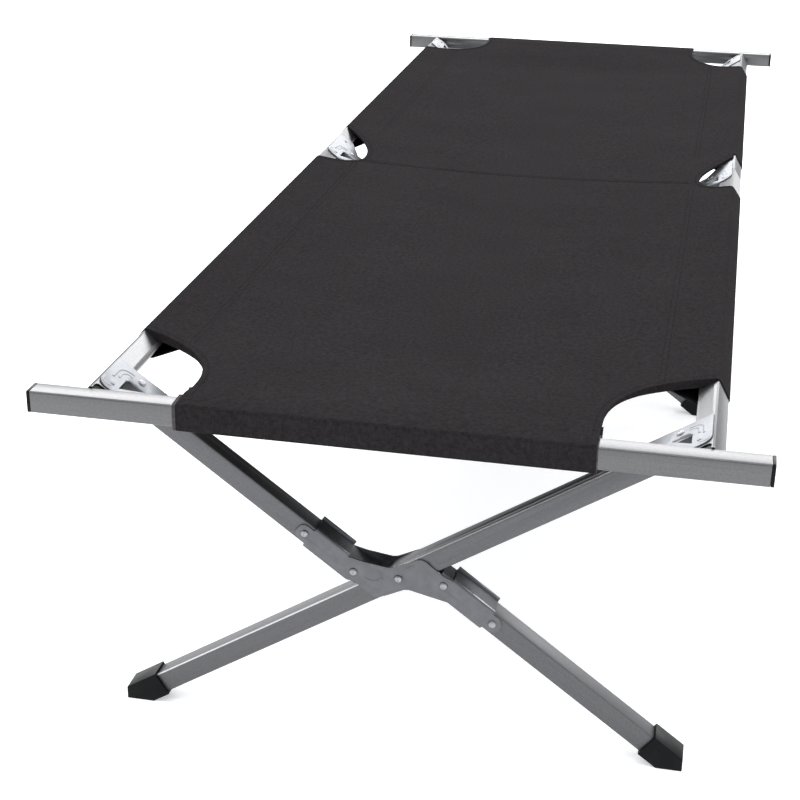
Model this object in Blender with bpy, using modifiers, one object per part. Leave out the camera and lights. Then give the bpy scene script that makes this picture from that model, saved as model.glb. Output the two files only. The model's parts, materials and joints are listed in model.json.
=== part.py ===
"""Folding camping cot: square aluminium tubes, pressed steel brackets, a sleeved bed cloth.

Units are metres. X runs across the bed, Y along it (the near end is at -Y), Z is up.
The origin is on the floor under the middle of the bed.

Each leg pair is an X. The straight leg runs from the right rail to the left foot. The split leg
is two halves, one from the left rail and one to the right foot, joined by a centre bracket that
carries them side by side, so that the straight leg folds in between them.
"""
import math

import bmesh
import bpy
from mathutils import Matrix, Vector

# Overall sizes
COT_LENGTH = 2.0
BAR_LENGTH = 0.7416
PIVOT_HEIGHT = 0.197

# Square tube
TUBE = 0.024
TUBE_WALL = 0.0015
TUBE_CORNER = 0.002

# Leg geometry: reach from the centre pivot to the rail, lean of the straight leg, and the
# distance of each split half's axis from the pivot
LEG_REACH = 0.369
STRAIGHT_LEAN = math.radians(32.35)
SPLIT_OFFSET = 0.0275
HALF_START = 0.031

# Places along the bed
LEG_INSET = 0.0885
MIDDLE_LEG_Y = 0.060
BAR_RAISE = 0.002

# Clearances, and how close two points are to be the same one
FIT = 0.0003
RUN = 0.0004
SAME_PLACE = 0.00001

# Rounded corners: the turn between two points, and the most of a side that one corner takes
ARC_STEP = math.radians(30)
CORNER_SHARE = 0.49

# Steel sheet and rivets
SHEET = 0.0015
RIVET_HEAD = 0.0042
RIVET_DOME = 0.0017
RIVET_SHANK = 0.0024
RIVET_STEPS = 10
DOME_RINGS = (58, 25)

# Centre bracket, measured from its pivot along and across the split leg
ARM_RIVET_IN = 0.041
ARM_RIVET_OUT = 0.108
EAR_RADIUS = 0.0095
EAR_STEP = 0.001
FOLD_START = 0.0565
FOLD_END = 0.101
LOWER_FOLD_START = 0.045
FOLD_STEP = 0.0034
FOLD_RADIUS = 0.003
WAIST_RADIUS = 0.009
ARM_SKIRT = 0.001
WAIST_ALONG = 0.014
WAIST_ACROSS = 0.004
SHOULDER_RISE = 0.0064
CREST_ABOVE_AXIS = 0.0093
CREST_NEAR = 0.003
CREST_NEAR_SHARE = 0.68
CREST_TOP = 0.0042
CREST_FAR = 0.034
CREST_FALL = 0.0006
LIP_HEIGHT = 0.0024
LIP_WIDTH = 0.003

# Pressed beads: their section, the steps along their arc, and angles in degrees
BEAD_RADIUS = 0.0011
BEAD_STEPS = 6
BRACKET_BEAD_ALONG = 0.020
BRACKET_BEAD_BELOW = 0.009
BRACKET_BEAD_BEND = 0.0115
BRACKET_BEAD_START = 15
BRACKET_BEAD_SWEEP = 140
PLATE_BEAD_BENDS = (0.0150, 0.0195)
PLATE_BEAD_FROM = 62
PLATE_BEAD_TO = (60, 48)

# Corner plates on the leg tops
PLATE_RIDGE_EDGE = 0.0025
PLATE_NOSE = 0.049
PLATE_NOSE_RADIUS = 0.010
PLATE_NOSE_INNER_RADIUS = 0.008
PLATE_LEG_LENGTH = 0.066
PLATE_WEB_START = 0.050
PLATE_WEB_RADIUS = 0.010
PLATE_BACK = 0.006
PLATE_SKIRT = 0.011
SKIRT_SHORT = 0.004
SKIRT_FROM_WINDOW = 0.003
SKIRT_FROM_RAIL = 0.006
WINDOW_REACH = 0.037
WINDOW_HEIGHT = 0.034
WINDOW_MARGIN = 0.0022
WINDOW_RADIUS = 0.003
RAIL_RIVET_NEAR = 0.039
RAIL_RIVET_MIDDLE = 0.033
RAIL_RIVET_INWARD = 0.0025
CORNER_RIVET_INWARD = 0.0265

# Rail ends
RAIL_GAP = 0.0005
NOTCH_LENGTH = 0.013
NOTCH_RADIUS = 0.0054
PLUG_LENGTH = 0.030
PEG_RADIUS = 0.004
PEG_REACH = 0.012

# End bar plugs
BAR_PLUG_FLANGE = 0.0035
BAR_PLUG_LENGTH = 0.018

# Feet
FOOT_WALL = 0.0023
FOOT_SLEEVE = 0.045
FOOT_SOLE = 0.005
FOOT_HEEL_ABOVE = 0.0023
FOOT_CORNER = 0.0015

# Bed cloth
CLOTH = 0.0016
CORNER_CUT_X = 0.107
CORNER_CUT_STRAIGHT = 0.060
CORNER_CUT_NEAR = 0.191
CORNER_CUT_FAR = 0.152
CORNER_CUT_STEPS = 6
SIDE_CUT_HALF = 0.092
SIDE_CUT_DEPTH = 0.062
SIDE_CUT_Y = 0.058
SIDE_CUT_STEPS = 14
FLAP_SEAM = 0.062
FLAP_FLARE = 0.018
HEM_SEAM = 0.030

# Values worked out from the sizes above
HALF_TUBE = TUBE / 2
RAIL_DROP = LEG_REACH * math.sin(STRAIGHT_LEAN)
SPLIT_REACH = math.hypot(LEG_REACH, SPLIT_OFFSET)
SPLIT_AIM = math.asin(RAIL_DROP / SPLIT_REACH)
SPLIT_LEAN = SPLIT_AIM + math.atan2(SPLIT_OFFSET, LEG_REACH)
RIGHT_RAIL_X = LEG_REACH * math.cos(STRAIGHT_LEAN)
LEFT_RAIL_X = -SPLIT_REACH * math.cos(SPLIT_AIM)
PIVOT_X = -(RIGHT_RAIL_X + LEFT_RAIL_X) / 2
RAIL_HEIGHT = PIVOT_HEIGHT + RAIL_DROP
BAR_INNER = COT_LENGTH / 2 - TUBE
RAIL_END = BAR_INNER - RAIL_GAP
BAR_HEIGHT = RAIL_HEIGHT + BAR_RAISE
LEG_PLACES = {
    "near": -COT_LENGTH / 2 + LEG_INSET,
    "middle": MIDDLE_LEG_Y,
    "far": COT_LENGTH / 2 - LEG_INSET,
}

MOVES_WITH_LEFT_RAIL = (
    "left_", "rail_plug_left", "upper_", "lower_", "centre_",
    "corner_plate_left", "corner_rivet_left", "foot_right",
)

Y_AXIS = Vector((0, 1, 0))
STRAIGHT_UP = Vector((math.cos(STRAIGHT_LEAN), 0, math.sin(STRAIGHT_LEAN)))
STRAIGHT_OVER = Vector((-math.sin(STRAIGHT_LEAN), 0, math.cos(STRAIGHT_LEAN)))
SPLIT_UP = Vector((-math.cos(SPLIT_LEAN), 0, math.sin(SPLIT_LEAN)))
SPLIT_OVER = Vector((math.sin(SPLIT_LEAN), 0, math.cos(SPLIT_LEAN)))


def clear_scene():
    for obj in list(bpy.data.objects):
        bpy.data.objects.remove(obj, do_unlink=True)
    for collection in list(bpy.data.collections):
        bpy.data.collections.remove(collection)


def make_collection(name):
    collection = bpy.data.collections.new(name)
    bpy.context.scene.collection.children.link(collection)
    return collection


def make_material(name, colour, roughness, metallic):
    material = bpy.data.materials.new(name)
    material.use_nodes = True
    shader = material.node_tree.nodes["Principled BSDF"]
    shader.inputs["Base Color"].default_value = (*colour, 1)
    shader.inputs["Roughness"].default_value = roughness
    shader.inputs["Metallic"].default_value = metallic
    material.diffuse_color = (*colour, 1)
    return material


clear_scene()
COT = make_collection("camping_cot")
CUTTERS = make_collection("cutters")

ALUMINIUM = make_material("brushed_aluminium", (0.60, 0.60, 0.62), 0.35, 1.0)
STEEL = make_material("zinc_plated_steel", (0.42, 0.42, 0.43), 0.40, 1.0)
BRIGHT_STEEL = make_material("bright_rivet_steel", (0.72, 0.71, 0.69), 0.30, 1.0)
PLASTIC = make_material("black_plastic", (0.012, 0.013, 0.014), 0.50, 0.0)
FABRIC = make_material("charcoal_bed_cloth", (0.042, 0.040, 0.041), 0.90, 0.0)


# Placing and joining

def frame(origin, x_axis, y_axis):
    """Matrix of a local frame with the given X and Y directions."""
    z_axis = x_axis.cross(y_axis)
    turn = Matrix((x_axis, y_axis, z_axis)).transposed().to_4x4()
    return Matrix.Translation(origin) @ turn


def axis_frame(origin, axis):
    """Matrix of a local frame whose Z is the axis."""
    side = Y_AXIS if abs(axis.dot(Y_AXIS)) < 0.5 else Vector((1, 0, 0))
    x_axis = side.cross(axis).normalized()
    return frame(origin, x_axis, axis.cross(x_axis))


def add_object(name, mesh, matrix, material, collection=COT):
    obj = bpy.data.objects.new(name, mesh)
    collection.objects.link(obj)
    obj.matrix_world = matrix
    if material:
        mesh.materials.clear()
        mesh.materials.append(material)
    return obj


def mark_cutter(obj):
    obj.hide_render = True
    obj.display_type = "WIRE"


def combine(obj, other, operation):
    """Boolean of obj with other, which becomes a cutter or a joined form."""
    mark_cutter(other)
    modifier = obj.modifiers.new(operation.lower(), "BOOLEAN")
    modifier.operation = operation
    modifier.solver = "EXACT"
    modifier.object = other


def new_cutter(name, mesh, matrix):
    cutter = add_object(name, mesh, matrix, None, CUTTERS)
    mark_cutter(cutter)
    return cutter


# Outlines

def rounded(corners):
    """Closed outline through (x, y, radius) corners, each rounded by an arc."""
    outline = []
    count = len(corners)
    for index, (x, y, radius) in enumerate(corners):
        here = Vector((x, y))
        before = (Vector(corners[index - 1][:2]) - here)
        after = (Vector(corners[(index + 1) % count][:2]) - here)
        if radius <= 0:
            outline.append(here)
            continue
        half = before.angle(after) / 2
        setback = radius / math.tan(half)
        longest = CORNER_SHARE * min(before.length, after.length)
        setback = min(setback, longest)
        reach = setback * math.tan(half)
        centre = here + (before.normalized() + after.normalized()).normalized() * (
            reach / math.sin(half))
        start = here + before.normalized() * setback - centre
        end = here + after.normalized() * setback - centre
        sweep = start.angle_signed(end)
        steps = max(1, round(abs(sweep) / ARC_STEP))
        for step in range(steps + 1):
            turned = start.copy()
            turned.rotate(Matrix.Rotation(-sweep * step / steps, 2))
            outline.append(centre + turned)
    return outline


def rectangle(x_low, x_high, y_low, y_high, radius=0.0):
    return rounded([
        (x_low, y_low, radius),
        (x_high, y_low, radius),
        (x_high, y_high, radius),
        (x_low, y_high, radius),
    ])


def outline_mesh(name, outlines, half_depth):
    """Mesh of a flat shape with its holes, as deep as twice half_depth, or a bare face at 0."""
    curve = bpy.data.curves.new(name, "CURVE")
    curve.dimensions = "2D"
    curve.fill_mode = "BOTH"
    curve.extrude = half_depth
    for outline in outlines:
        spline = curve.splines.new("POLY")
        spline.points.add(len(outline) - 1)
        for point, place in zip(spline.points, outline):
            point.co = (place[0], place[1], 0, 1)
        spline.use_cyclic_u = True
    holder = bpy.data.objects.new(name, curve)
    COT.objects.link(holder)
    bpy.context.view_layer.update()
    evaluated = holder.evaluated_get(bpy.context.evaluated_depsgraph_get())
    mesh = bpy.data.meshes.new_from_object(evaluated)
    bpy.data.objects.remove(holder)
    bpy.data.curves.remove(curve)
    weld(mesh)
    mesh.name = name
    return mesh


def weld(mesh):
    cage = bmesh.new()
    cage.from_mesh(mesh)
    bmesh.ops.remove_doubles(cage, verts=cage.verts, dist=SAME_PLACE / 10)
    bmesh.ops.recalc_face_normals(cage, faces=cage.faces)
    cage.to_mesh(mesh)
    cage.free()


# Stock shapes

def slab(name, outlines, thickness, matrix, material=None, collection=CUTTERS):
    """Flat shape in the frame's XY plane, from its plane up by the thickness."""
    mesh = outline_mesh(name, outlines, thickness / 2)
    mesh.transform(Matrix.Translation((0, 0, thickness / 2)))
    return add_object(name, mesh, matrix, material, collection)


def square_tube(name, start, direction, side_axis, length):
    """Tube from start along direction, with one pair of faces square to side_axis."""
    inner = HALF_TUBE - TUBE_WALL
    outlines = [
        rectangle(-HALF_TUBE, HALF_TUBE, -HALF_TUBE, HALF_TUBE, TUBE_CORNER),
        rectangle(-inner, inner, -inner, inner),
    ]
    turn = frame(start, side_axis, direction.cross(side_axis))
    return slab(name, outlines, length, turn, ALUMINIUM, COT)


def box_mesh(name, x_size, y_size, z_size):
    mesh = bpy.data.meshes.new(name)
    cage = bmesh.new()
    bmesh.ops.create_cube(cage, size=1.0, matrix=Matrix.Diagonal((x_size, y_size, z_size, 1)))
    cage.to_mesh(mesh)
    cage.free()
    return mesh


def drill(obj, places, axis, radius, depth, word=""):
    """Round holes at the places, bored along the axis through the given depth on both sides."""
    name = f"{obj.name}{word}_bores"
    mesh = bpy.data.meshes.new(name)
    cage = bmesh.new()
    for place in places:
        bmesh.ops.create_cone(
            cage, cap_ends=True, segments=RIVET_STEPS, radius1=radius, radius2=radius,
            depth=2 * depth, matrix=axis_frame(place, axis))
    bmesh.ops.recalc_face_normals(cage, faces=cage.faces)
    cage.to_mesh(mesh)
    cage.free()
    cutter = new_cutter(name, mesh, Matrix.Identity(4))
    combine(obj, cutter, "DIFFERENCE")


def bead(name, places, matrix):
    """Half-round pressed bead along a path on a sheet's face."""
    curve = bpy.data.curves.new(name, "CURVE")
    curve.dimensions = "3D"
    curve.bevel_depth = BEAD_RADIUS
    curve.bevel_resolution = 1
    curve.use_fill_caps = True
    spline = curve.splines.new("POLY")
    spline.points.add(len(places) - 1)
    for point, place in zip(spline.points, places):
        point.co = (*place, 1)
    holder = bpy.data.objects.new(name, curve)
    COT.objects.link(holder)
    bpy.context.view_layer.update()
    evaluated = holder.evaluated_get(bpy.context.evaluated_depsgraph_get())
    mesh = bpy.data.meshes.new_from_object(evaluated)
    bpy.data.objects.remove(holder)
    bpy.data.curves.remove(curve)
    weld(mesh)
    return add_object(name, mesh, matrix, None, CUTTERS)


def arc(centre, radius, start, end, height):
    """Points of a bead's arc in the XY plane, angles in degrees."""
    points = []
    for step in range(BEAD_STEPS + 1):
        angle = math.radians(start + (end - start) * step / BEAD_STEPS)
        points.append((
            centre[0] + radius * math.cos(angle),
            centre[1] + radius * math.sin(angle),
            height))
    return points


def rivet(name, place, axis, grip):
    """Rivet with two domed heads. The grip is half the thickness that it holds."""
    seat = grip + FIT
    top = seat + RIVET_DOME
    profile = [(0, top)]
    for angle in DOME_RINGS:
        profile.append((
            RIVET_HEAD * math.cos(math.radians(angle)),
            seat + RIVET_DOME * math.sin(math.radians(angle))))
    profile.append((RIVET_HEAD, seat))
    profile.append((RIVET_SHANK, seat))
    profile += [(x, -z) for x, z in reversed(profile)]
    mesh = bpy.data.meshes.new(name)
    cage = bmesh.new()
    ring = [cage.verts.new((x, 0, z)) for x, z in profile]
    for first, second in zip(ring, ring[1:]):
        cage.edges.new((first, second))
    cage.to_mesh(mesh)
    cage.free()
    obj = add_object(name, mesh, axis_frame(place, axis), BRIGHT_STEEL)
    screw = obj.modifiers.new("turn", "SCREW")
    screw.steps = RIVET_STEPS
    screw.render_steps = RIVET_STEPS
    screw.use_merge_vertices = True
    screw.merge_threshold = SAME_PLACE
    return obj


# Places on the legs

def pivot_at(y):
    return Vector((PIVOT_X, y, PIVOT_HEIGHT))


def on_split(along, across, y):
    return pivot_at(y) + SPLIT_UP * along + SPLIT_OVER * across


def rail_centre(side, y):
    x = RIGHT_RAIL_X if side > 0 else LEFT_RAIL_X
    return Vector((PIVOT_X + x, y, RAIL_HEIGHT))


def leg_axes(side):
    """Directions up a leg to its rail, and square to its upper face."""
    if side > 0:
        return STRAIGHT_UP, STRAIGHT_OVER
    return SPLIT_UP, SPLIT_OVER


def plate_frame(side, y):
    """Frame on the upper face of a rail and leg: X inward down the leg, Z out of the face."""
    up, over = leg_axes(side)
    origin = rail_centre(side, y) + over * HALF_TUBE
    return frame(origin, -up, -Y_AXIS * side)


def side_word(side):
    return "right" if side > 0 else "left"


# Rails

def rail_half(side, end):
    """Half of a side rail, from its end to the middle legs."""
    over = leg_axes(side)[1]
    towards = 1 if end == "near" else -1
    start = rail_centre(side, -RAIL_END * towards)
    length = RAIL_END + towards * MIDDLE_LEG_Y - FIT / 2
    rail = square_tube(f"{side_word(side)}_rail_{end}", start, Y_AXIS * towards, over, length)
    cut_rail_end(rail, side, towards)
    return rail


def cut_rail_end(rail, side, towards):
    """Round-ended notch in the rail's upper wall, open at its end."""
    half_width = HALF_TUBE - 2 * TUBE_WALL
    outline = rectangle(-half_width, half_width, -NOTCH_LENGTH, NOTCH_LENGTH, NOTCH_RADIUS)
    turn = plate_frame(side, -RAIL_END * towards)
    sunk = turn @ Matrix.Translation((0, 0, -2 * TUBE_WALL))
    combine(rail, slab(rail.name + "_notch", [outline], 3 * TUBE_WALL, sunk), "DIFFERENCE")


def rail_plug(side, end):
    """Plastic plug in a rail's end. On the right it carries the peg that the end bar sits on."""
    over = leg_axes(side)[1]
    towards = 1 if end == "near" else -1
    name = f"rail_plug_{side_word(side)}_{end}"
    half = HALF_TUBE - TUBE_WALL - FIT
    start = rail_centre(side, -RAIL_END * towards)
    inward = Y_AXIS * towards
    turn = frame(start, over, inward.cross(over))
    plug = slab(name, [rectangle(-half, half, -half, half)], PLUG_LENGTH, turn, PLASTIC, COT)
    if side > 0:
        length = PEG_REACH + RAIL_GAP + PEG_RADIUS
        middle = start + inward * (PEG_RADIUS - length / 2)
        combine(plug, cylinder(name + "_peg", middle, Y_AXIS, PEG_RADIUS, length), "UNION")
    return plug


def cylinder(name, middle, axis, radius, length, top_radius=None):
    mesh = bpy.data.meshes.new(name)
    cage = bmesh.new()
    top = radius if top_radius is None else top_radius
    bmesh.ops.create_cone(
        cage, cap_ends=True, segments=2 * RIVET_STEPS, radius1=radius, radius2=top, depth=length)
    cage.to_mesh(mesh)
    cage.free()
    return new_cutter(name, mesh, axis_frame(middle, axis))


# Legs

def straight_sole():
    """Distance from the pivot down the straight leg's axis to the floor."""
    return PIVOT_HEIGHT / math.sin(STRAIGHT_LEAN)


def split_sole():
    """Distance from the pivot down the lower half's axis to the floor."""
    height = PIVOT_HEIGHT + SPLIT_OFFSET * math.cos(SPLIT_LEAN)
    return height / math.sin(SPLIT_LEAN)


def tube_short_of_sole(lean):
    """How far a leg tube stops above the point where its axis meets the floor."""
    return foot_half_width() / math.tan(lean) + FOOT_SOLE


def foot_half_width():
    return HALF_TUBE + FIT + FOOT_WALL


def straight_leg(end):
    y = LEG_PLACES[end]
    top = LEG_REACH - HALF_TUBE - RUN
    bottom = straight_sole() - tube_short_of_sole(STRAIGHT_LEAN)
    start = pivot_at(y) + STRAIGHT_UP * top
    leg = square_tube(f"straight_leg_{end}", start, -STRAIGHT_UP, STRAIGHT_OVER, top + bottom)
    drill(leg, [pivot_at(y)], Y_AXIS, RIVET_SHANK + FIT, TUBE)
    drill_corner_rivet(leg, 1, y)
    return leg


def upper_leg(end):
    y = LEG_PLACES[end]
    top = LEG_REACH - HALF_TUBE - RUN
    start = on_split(top, -SPLIT_OFFSET, y)
    leg = square_tube(f"upper_leg_{end}", start, -SPLIT_UP, SPLIT_OVER, top - HALF_START)
    drill(leg, arm_rivets(1, y), Y_AXIS, RIVET_SHANK + FIT, TUBE)
    drill_corner_rivet(leg, -1, y)
    return leg


def lower_leg(end):
    y = LEG_PLACES[end]
    bottom = split_sole() - tube_short_of_sole(SPLIT_LEAN)
    start = on_split(-HALF_START, SPLIT_OFFSET, y)
    leg = square_tube(f"lower_leg_{end}", start, -SPLIT_UP, SPLIT_OVER, bottom - HALF_START)
    drill(leg, arm_rivets(-1, y), Y_AXIS, RIVET_SHANK + FIT, TUBE)
    return leg


def arm_rivets(arm, y):
    """Places of the inner and outer rivet of the upper (1) or lower (-1) half."""
    return [
        on_split(arm * along, -arm * SPLIT_OFFSET, y)
        for along in (ARM_RIVET_IN, ARM_RIVET_OUT)
    ]


def drill_corner_rivet(obj, side, y):
    over = leg_axes(side)[1]
    drill(obj, [corner_rivet_place(side, y)], over, RIVET_SHANK + FIT, TUBE, "_corner")


def corner_rivet_place(side, y):
    """Middle of the rivet's grip, which is the leg with the corner plate on it."""
    up, over = leg_axes(side)
    return rail_centre(side, y) - up * CORNER_RIVET_INWARD + over * (FIT + SHEET) / 2


def corner_rivet(side, end):
    over = leg_axes(side)[1]
    place = corner_rivet_place(side, LEG_PLACES[end])
    grip = HALF_TUBE + (FIT + SHEET) / 2
    rivet(f"corner_rivet_{side_word(side)}_{end}", place, over, grip)


# Feet

def foot(side, end):
    """Plastic cap with a sole that lies flat on the floor and an upright heel."""
    y = LEG_PLACES[end]
    if side < 0:
        lean, up, over = STRAIGHT_LEAN, STRAIGHT_UP, STRAIGHT_OVER
        sole = pivot_at(y) - up * straight_sole()
    else:
        lean, up, over = SPLIT_LEAN, SPLIT_UP, SPLIT_OVER
        sole = on_split(-split_sole(), SPLIT_OFFSET, y)
    half = foot_half_width()
    slope = math.tan(lean)
    heel = FOOT_HEEL_ABOVE
    outline = rounded([
        (-FOOT_SLEEVE, -half, 0),
        (-half / slope, -half, FOOT_CORNER),
        (heel / slope, heel, FOOT_CORNER / 2),
        (heel / slope - (half - heel) * slope, half, FOOT_CORNER),
        (-FOOT_SLEEVE, half, 0),
    ])
    turn = frame(sole, -up, over)
    name = f"foot_{side_word(side)}_{end}"
    cap = slab(name, [outline], 2 * half, turn @ Matrix.Translation((0, 0, -half)), PLASTIC, COT)
    bore = 2 * (HALF_TUBE + FIT)
    depth = FOOT_SLEEVE - tube_short_of_sole(lean) + FIT
    pocket = box_mesh(name + "_pocket", 2 * depth, bore, bore)
    cutter = new_cutter(name + "_pocket", pocket, turn @ Matrix.Translation((-FOOT_SLEEVE, 0, 0)))
    combine(cap, cutter, "DIFFERENCE")
    return cap


# Centre bracket

def arm_levels():
    """Across levels of the upper arm's lower edge and fold, then the lower arm's."""
    fold = HALF_TUBE + RUN + SHEET
    edge = HALF_TUBE + ARM_SKIRT
    return (-SPLIT_OFFSET - edge, -SPLIT_OFFSET + fold, SPLIT_OFFSET - edge, SPLIT_OFFSET + fold)


def bracket_outline():
    """Side plate of the centre bracket: two arms side by side, joined by an S-shaped waist."""
    upper_low, upper_fold, lower_low, lower_fold = arm_levels()
    crest = SPLIT_OFFSET + CREST_ABOVE_AXIS
    ear_end = ARM_RIVET_OUT + EAR_RADIUS
    neck = FOLD_END + EAR_STEP
    waist = [
        (WAIST_ALONG, WAIST_ACROSS, WAIST_RADIUS),
        (CREST_NEAR, crest * CREST_NEAR_SHARE, WAIST_RADIUS),
        (-CREST_TOP, crest, WAIST_RADIUS),
        (-CREST_FAR, crest - CREST_FALL, FOLD_RADIUS),
    ]
    turned_waist = [(-x, -y, radius) for x, y, radius in waist]
    return rounded([
        (FOLD_END, upper_fold - FOLD_STEP, EAR_STEP),
        (FOLD_START, upper_fold - FOLD_STEP, EAR_STEP),
        (ARM_RIVET_IN, upper_fold - FOLD_STEP + SHOULDER_RISE, WAIST_RADIUS),
        *waist,
        (-LOWER_FOLD_START + FOLD_RADIUS, lower_fold - FOLD_STEP, EAR_STEP),
        (-FOLD_END, lower_fold - FOLD_STEP, EAR_STEP),
        (-neck, SPLIT_OFFSET + EAR_RADIUS, EAR_STEP),
        (-ear_end, SPLIT_OFFSET + EAR_RADIUS, EAR_RADIUS),
        (-ear_end, SPLIT_OFFSET - EAR_RADIUS, EAR_RADIUS),
        (-neck, SPLIT_OFFSET - EAR_RADIUS, EAR_STEP),
        (-FOLD_END, lower_low, EAR_STEP),
        (-FOLD_START, lower_low, FOLD_RADIUS),
        *turned_waist,
        (ARM_RIVET_IN, upper_low, FOLD_RADIUS),
        (FOLD_END, upper_low, EAR_STEP),
        (neck, -SPLIT_OFFSET - EAR_RADIUS, EAR_STEP),
        (ear_end, -SPLIT_OFFSET - EAR_RADIUS, EAR_RADIUS),
        (ear_end, -SPLIT_OFFSET + EAR_RADIUS, EAR_RADIUS),
        (neck, -SPLIT_OFFSET + EAR_RADIUS, EAR_STEP),
    ])


def fold_channel(name, start, end, fold, turn):
    """Rounded fold that joins the two side plates over an arm, with a lip along its back."""
    outer = HALF_TUBE + RUN + SHEET
    inner = HALF_TUBE + RUN
    low = fold - SHEET - 2 * FOLD_STEP
    section = rounded([
        (low, -outer, 0),
        (fold, -outer, FOLD_RADIUS),
        (fold, outer - LIP_WIDTH, 0),
        (fold + LIP_HEIGHT, outer - LIP_WIDTH, 0),
        (fold + LIP_HEIGHT, outer, 0),
        (low, outer, 0),
        (low, inner, 0),
        (fold - SHEET, inner, 0),
        (fold - SHEET, -inner, 0),
        (low, -inner, 0),
    ])
    along = turn.to_3x3().col[0]
    across = turn.to_3x3().col[1]
    origin = turn.translation + along * start
    return slab(name, [section], end - start, frame(origin, across, along.cross(across)))


def centre_bracket(end):
    """Pressed steel bracket round the split leg: two side plates and the folds over its arms."""
    y = LEG_PLACES[end]
    turn = frame(pivot_at(y), SPLIT_UP, SPLIT_OVER)
    level = HALF_TUBE + RUN
    name = f"centre_bracket_{end}"
    outline = bracket_outline()
    front = turn @ Matrix.Translation((0, 0, -level - SHEET))
    back = turn @ Matrix.Translation((0, 0, level))
    bracket = slab(name, [outline], SHEET, front, STEEL, COT)
    combine(bracket, slab(name + "_back", [outline], SHEET, back), "UNION")
    folds = arm_levels()
    spans = (("_upper_fold", FOLD_START, FOLD_END, folds[1]),
             ("_lower_fold", -FOLD_END, -LOWER_FOLD_START, folds[3]))
    for word, start, stop, fold in spans:
        combine(bracket, fold_channel(name + word, start, stop, fold, turn), "UNION")
    for hand, start in ((1, BRACKET_BEAD_START), (-1, BRACKET_BEAD_START + 180)):
        centre = (-hand * BRACKET_BEAD_ALONG, hand * (SPLIT_OFFSET - BRACKET_BEAD_BELOW))
        path = arc(centre, BRACKET_BEAD_BEND, start, start + BRACKET_BEAD_SWEEP, -level - SHEET)
        combine(bracket, bead(f"{name}_bead_{hand}", path, turn), "UNION")
    drill(bracket, [pivot_at(y), *arm_rivets(1, y), *arm_rivets(-1, y)],
          Y_AXIS, RIVET_SHANK + FIT, TUBE)
    return bracket


def centre_rivets(end):
    y = LEG_PLACES[end]
    grip = HALF_TUBE + RUN + SHEET
    rivet(f"centre_rivet_{end}", pivot_at(y), Y_AXIS, grip)
    for arm, arm_word in ((1, "upper"), (-1, "lower")):
        for place, word in zip(arm_rivets(arm, y), ("inner", "outer")):
            rivet(f"{arm_word}_{word}_rivet_{end}", place, Y_AXIS, grip)


# Corner plates

def corner_plate_outline(hand, is_middle):
    """Plate over the rail and the top of the leg, with a gusset on the hand's side."""
    ridge = -HALF_TUBE + PLATE_RIDGE_EDGE
    edge = HALF_TUBE + RUN + SHEET
    nose = RAIL_RIVET_MIDDLE + PLATE_NOSE - RAIL_RIVET_NEAR if is_middle else PLATE_NOSE
    corners = [
        (ridge, nose, PLATE_NOSE_RADIUS),
        (HALF_TUBE, nose, PLATE_NOSE_INNER_RADIUS),
        (PLATE_WEB_START, edge, PLATE_WEB_RADIUS),
        (PLATE_LEG_LENGTH, edge, FOLD_RADIUS),
        (PLATE_LEG_LENGTH, -edge, FOLD_RADIUS),
    ]
    if is_middle:
        corners += [
            (HALF_TUBE + SHEET, -edge, PLATE_WEB_RADIUS),
            (HALF_TUBE, -nose, PLATE_NOSE_INNER_RADIUS),
            (ridge, -nose, PLATE_NOSE_RADIUS),
        ]
    else:
        corners += [
            (HALF_TUBE + SHEET, -edge, SHEET),
            (ridge, -PLATE_BACK, SHEET),
        ]
    return rounded([(x, hand * y, radius) for x, y, radius in corners])


def window_outline(hand):
    """Triangular window in the corner between the rail and the leg."""
    side = HALF_TUBE + WINDOW_MARGIN
    low = HALF_TUBE - TUBE_WALL
    corners = [
        (side, low, WINDOW_RADIUS),
        (WINDOW_REACH, low, WINDOW_RADIUS),
        (side, WINDOW_HEIGHT, WINDOW_RADIUS),
    ]
    return rounded([(x, hand * y, radius) for x, y, radius in corners])


def corner_plate(side, end):
    is_middle = end == "middle"
    hand = side * (-1 if end == "far" else 1)
    y = LEG_PLACES[end]
    name = f"corner_plate_{side_word(side)}_{end}"
    turn = plate_frame(side, y)
    outlines = [corner_plate_outline(hand, is_middle), window_outline(hand)]
    plate = slab(name, outlines, SHEET, turn @ Matrix.Translation((0, 0, FIT)), STEEL, COT)
    inner = HALF_TUBE + RUN
    skirts = ((hand, WINDOW_REACH + SKIRT_FROM_WINDOW), (-hand, HALF_TUBE + SKIRT_FROM_RAIL))
    for place, start in skirts:
        length = PLATE_LEG_LENGTH - SKIRT_SHORT - start
        skirt = box_mesh(name + "_skirt", length, SHEET, PLATE_SKIRT)
        middle = (start + length / 2, place * (inner + SHEET / 2), FIT + SHEET - PLATE_SKIRT / 2)
        tag = "near" if place > 0 else "far"
        cutter = new_cutter(f"{name}_{tag}_skirt", skirt, turn @ Matrix.Translation(middle))
        combine(plate, cutter, "UNION")
    rails = (RAIL_RIVET_MIDDLE, -RAIL_RIVET_MIDDLE) if is_middle else (hand * RAIL_RIVET_NEAR,)
    over = leg_axes(side)[1]
    for index, place in enumerate(rails):
        dome = turn @ Vector((RAIL_RIVET_INWARD, place, SHEET + RIVET_DOME / 2))
        stud = cylinder(f"{name}_stud_{index}", dome, over, RIVET_HEAD, RIVET_DOME + FIT,
                        RIVET_SHANK)
        combine(plate, stud, "UNION")
    centre = (HALF_TUBE + WINDOW_MARGIN, hand * (HALF_TUBE - TUBE_WALL))
    for index, (bend, stop) in enumerate(zip(PLATE_BEAD_BENDS, PLATE_BEAD_TO)):
        path = arc(centre, bend, 180 - hand * PLATE_BEAD_FROM, 180 + hand * stop, FIT + SHEET)
        combine(plate, bead(f"{name}_bead_{index}", path, turn), "UNION")
    drill_corner_rivet(plate, side, y)
    return plate


# End bars

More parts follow.
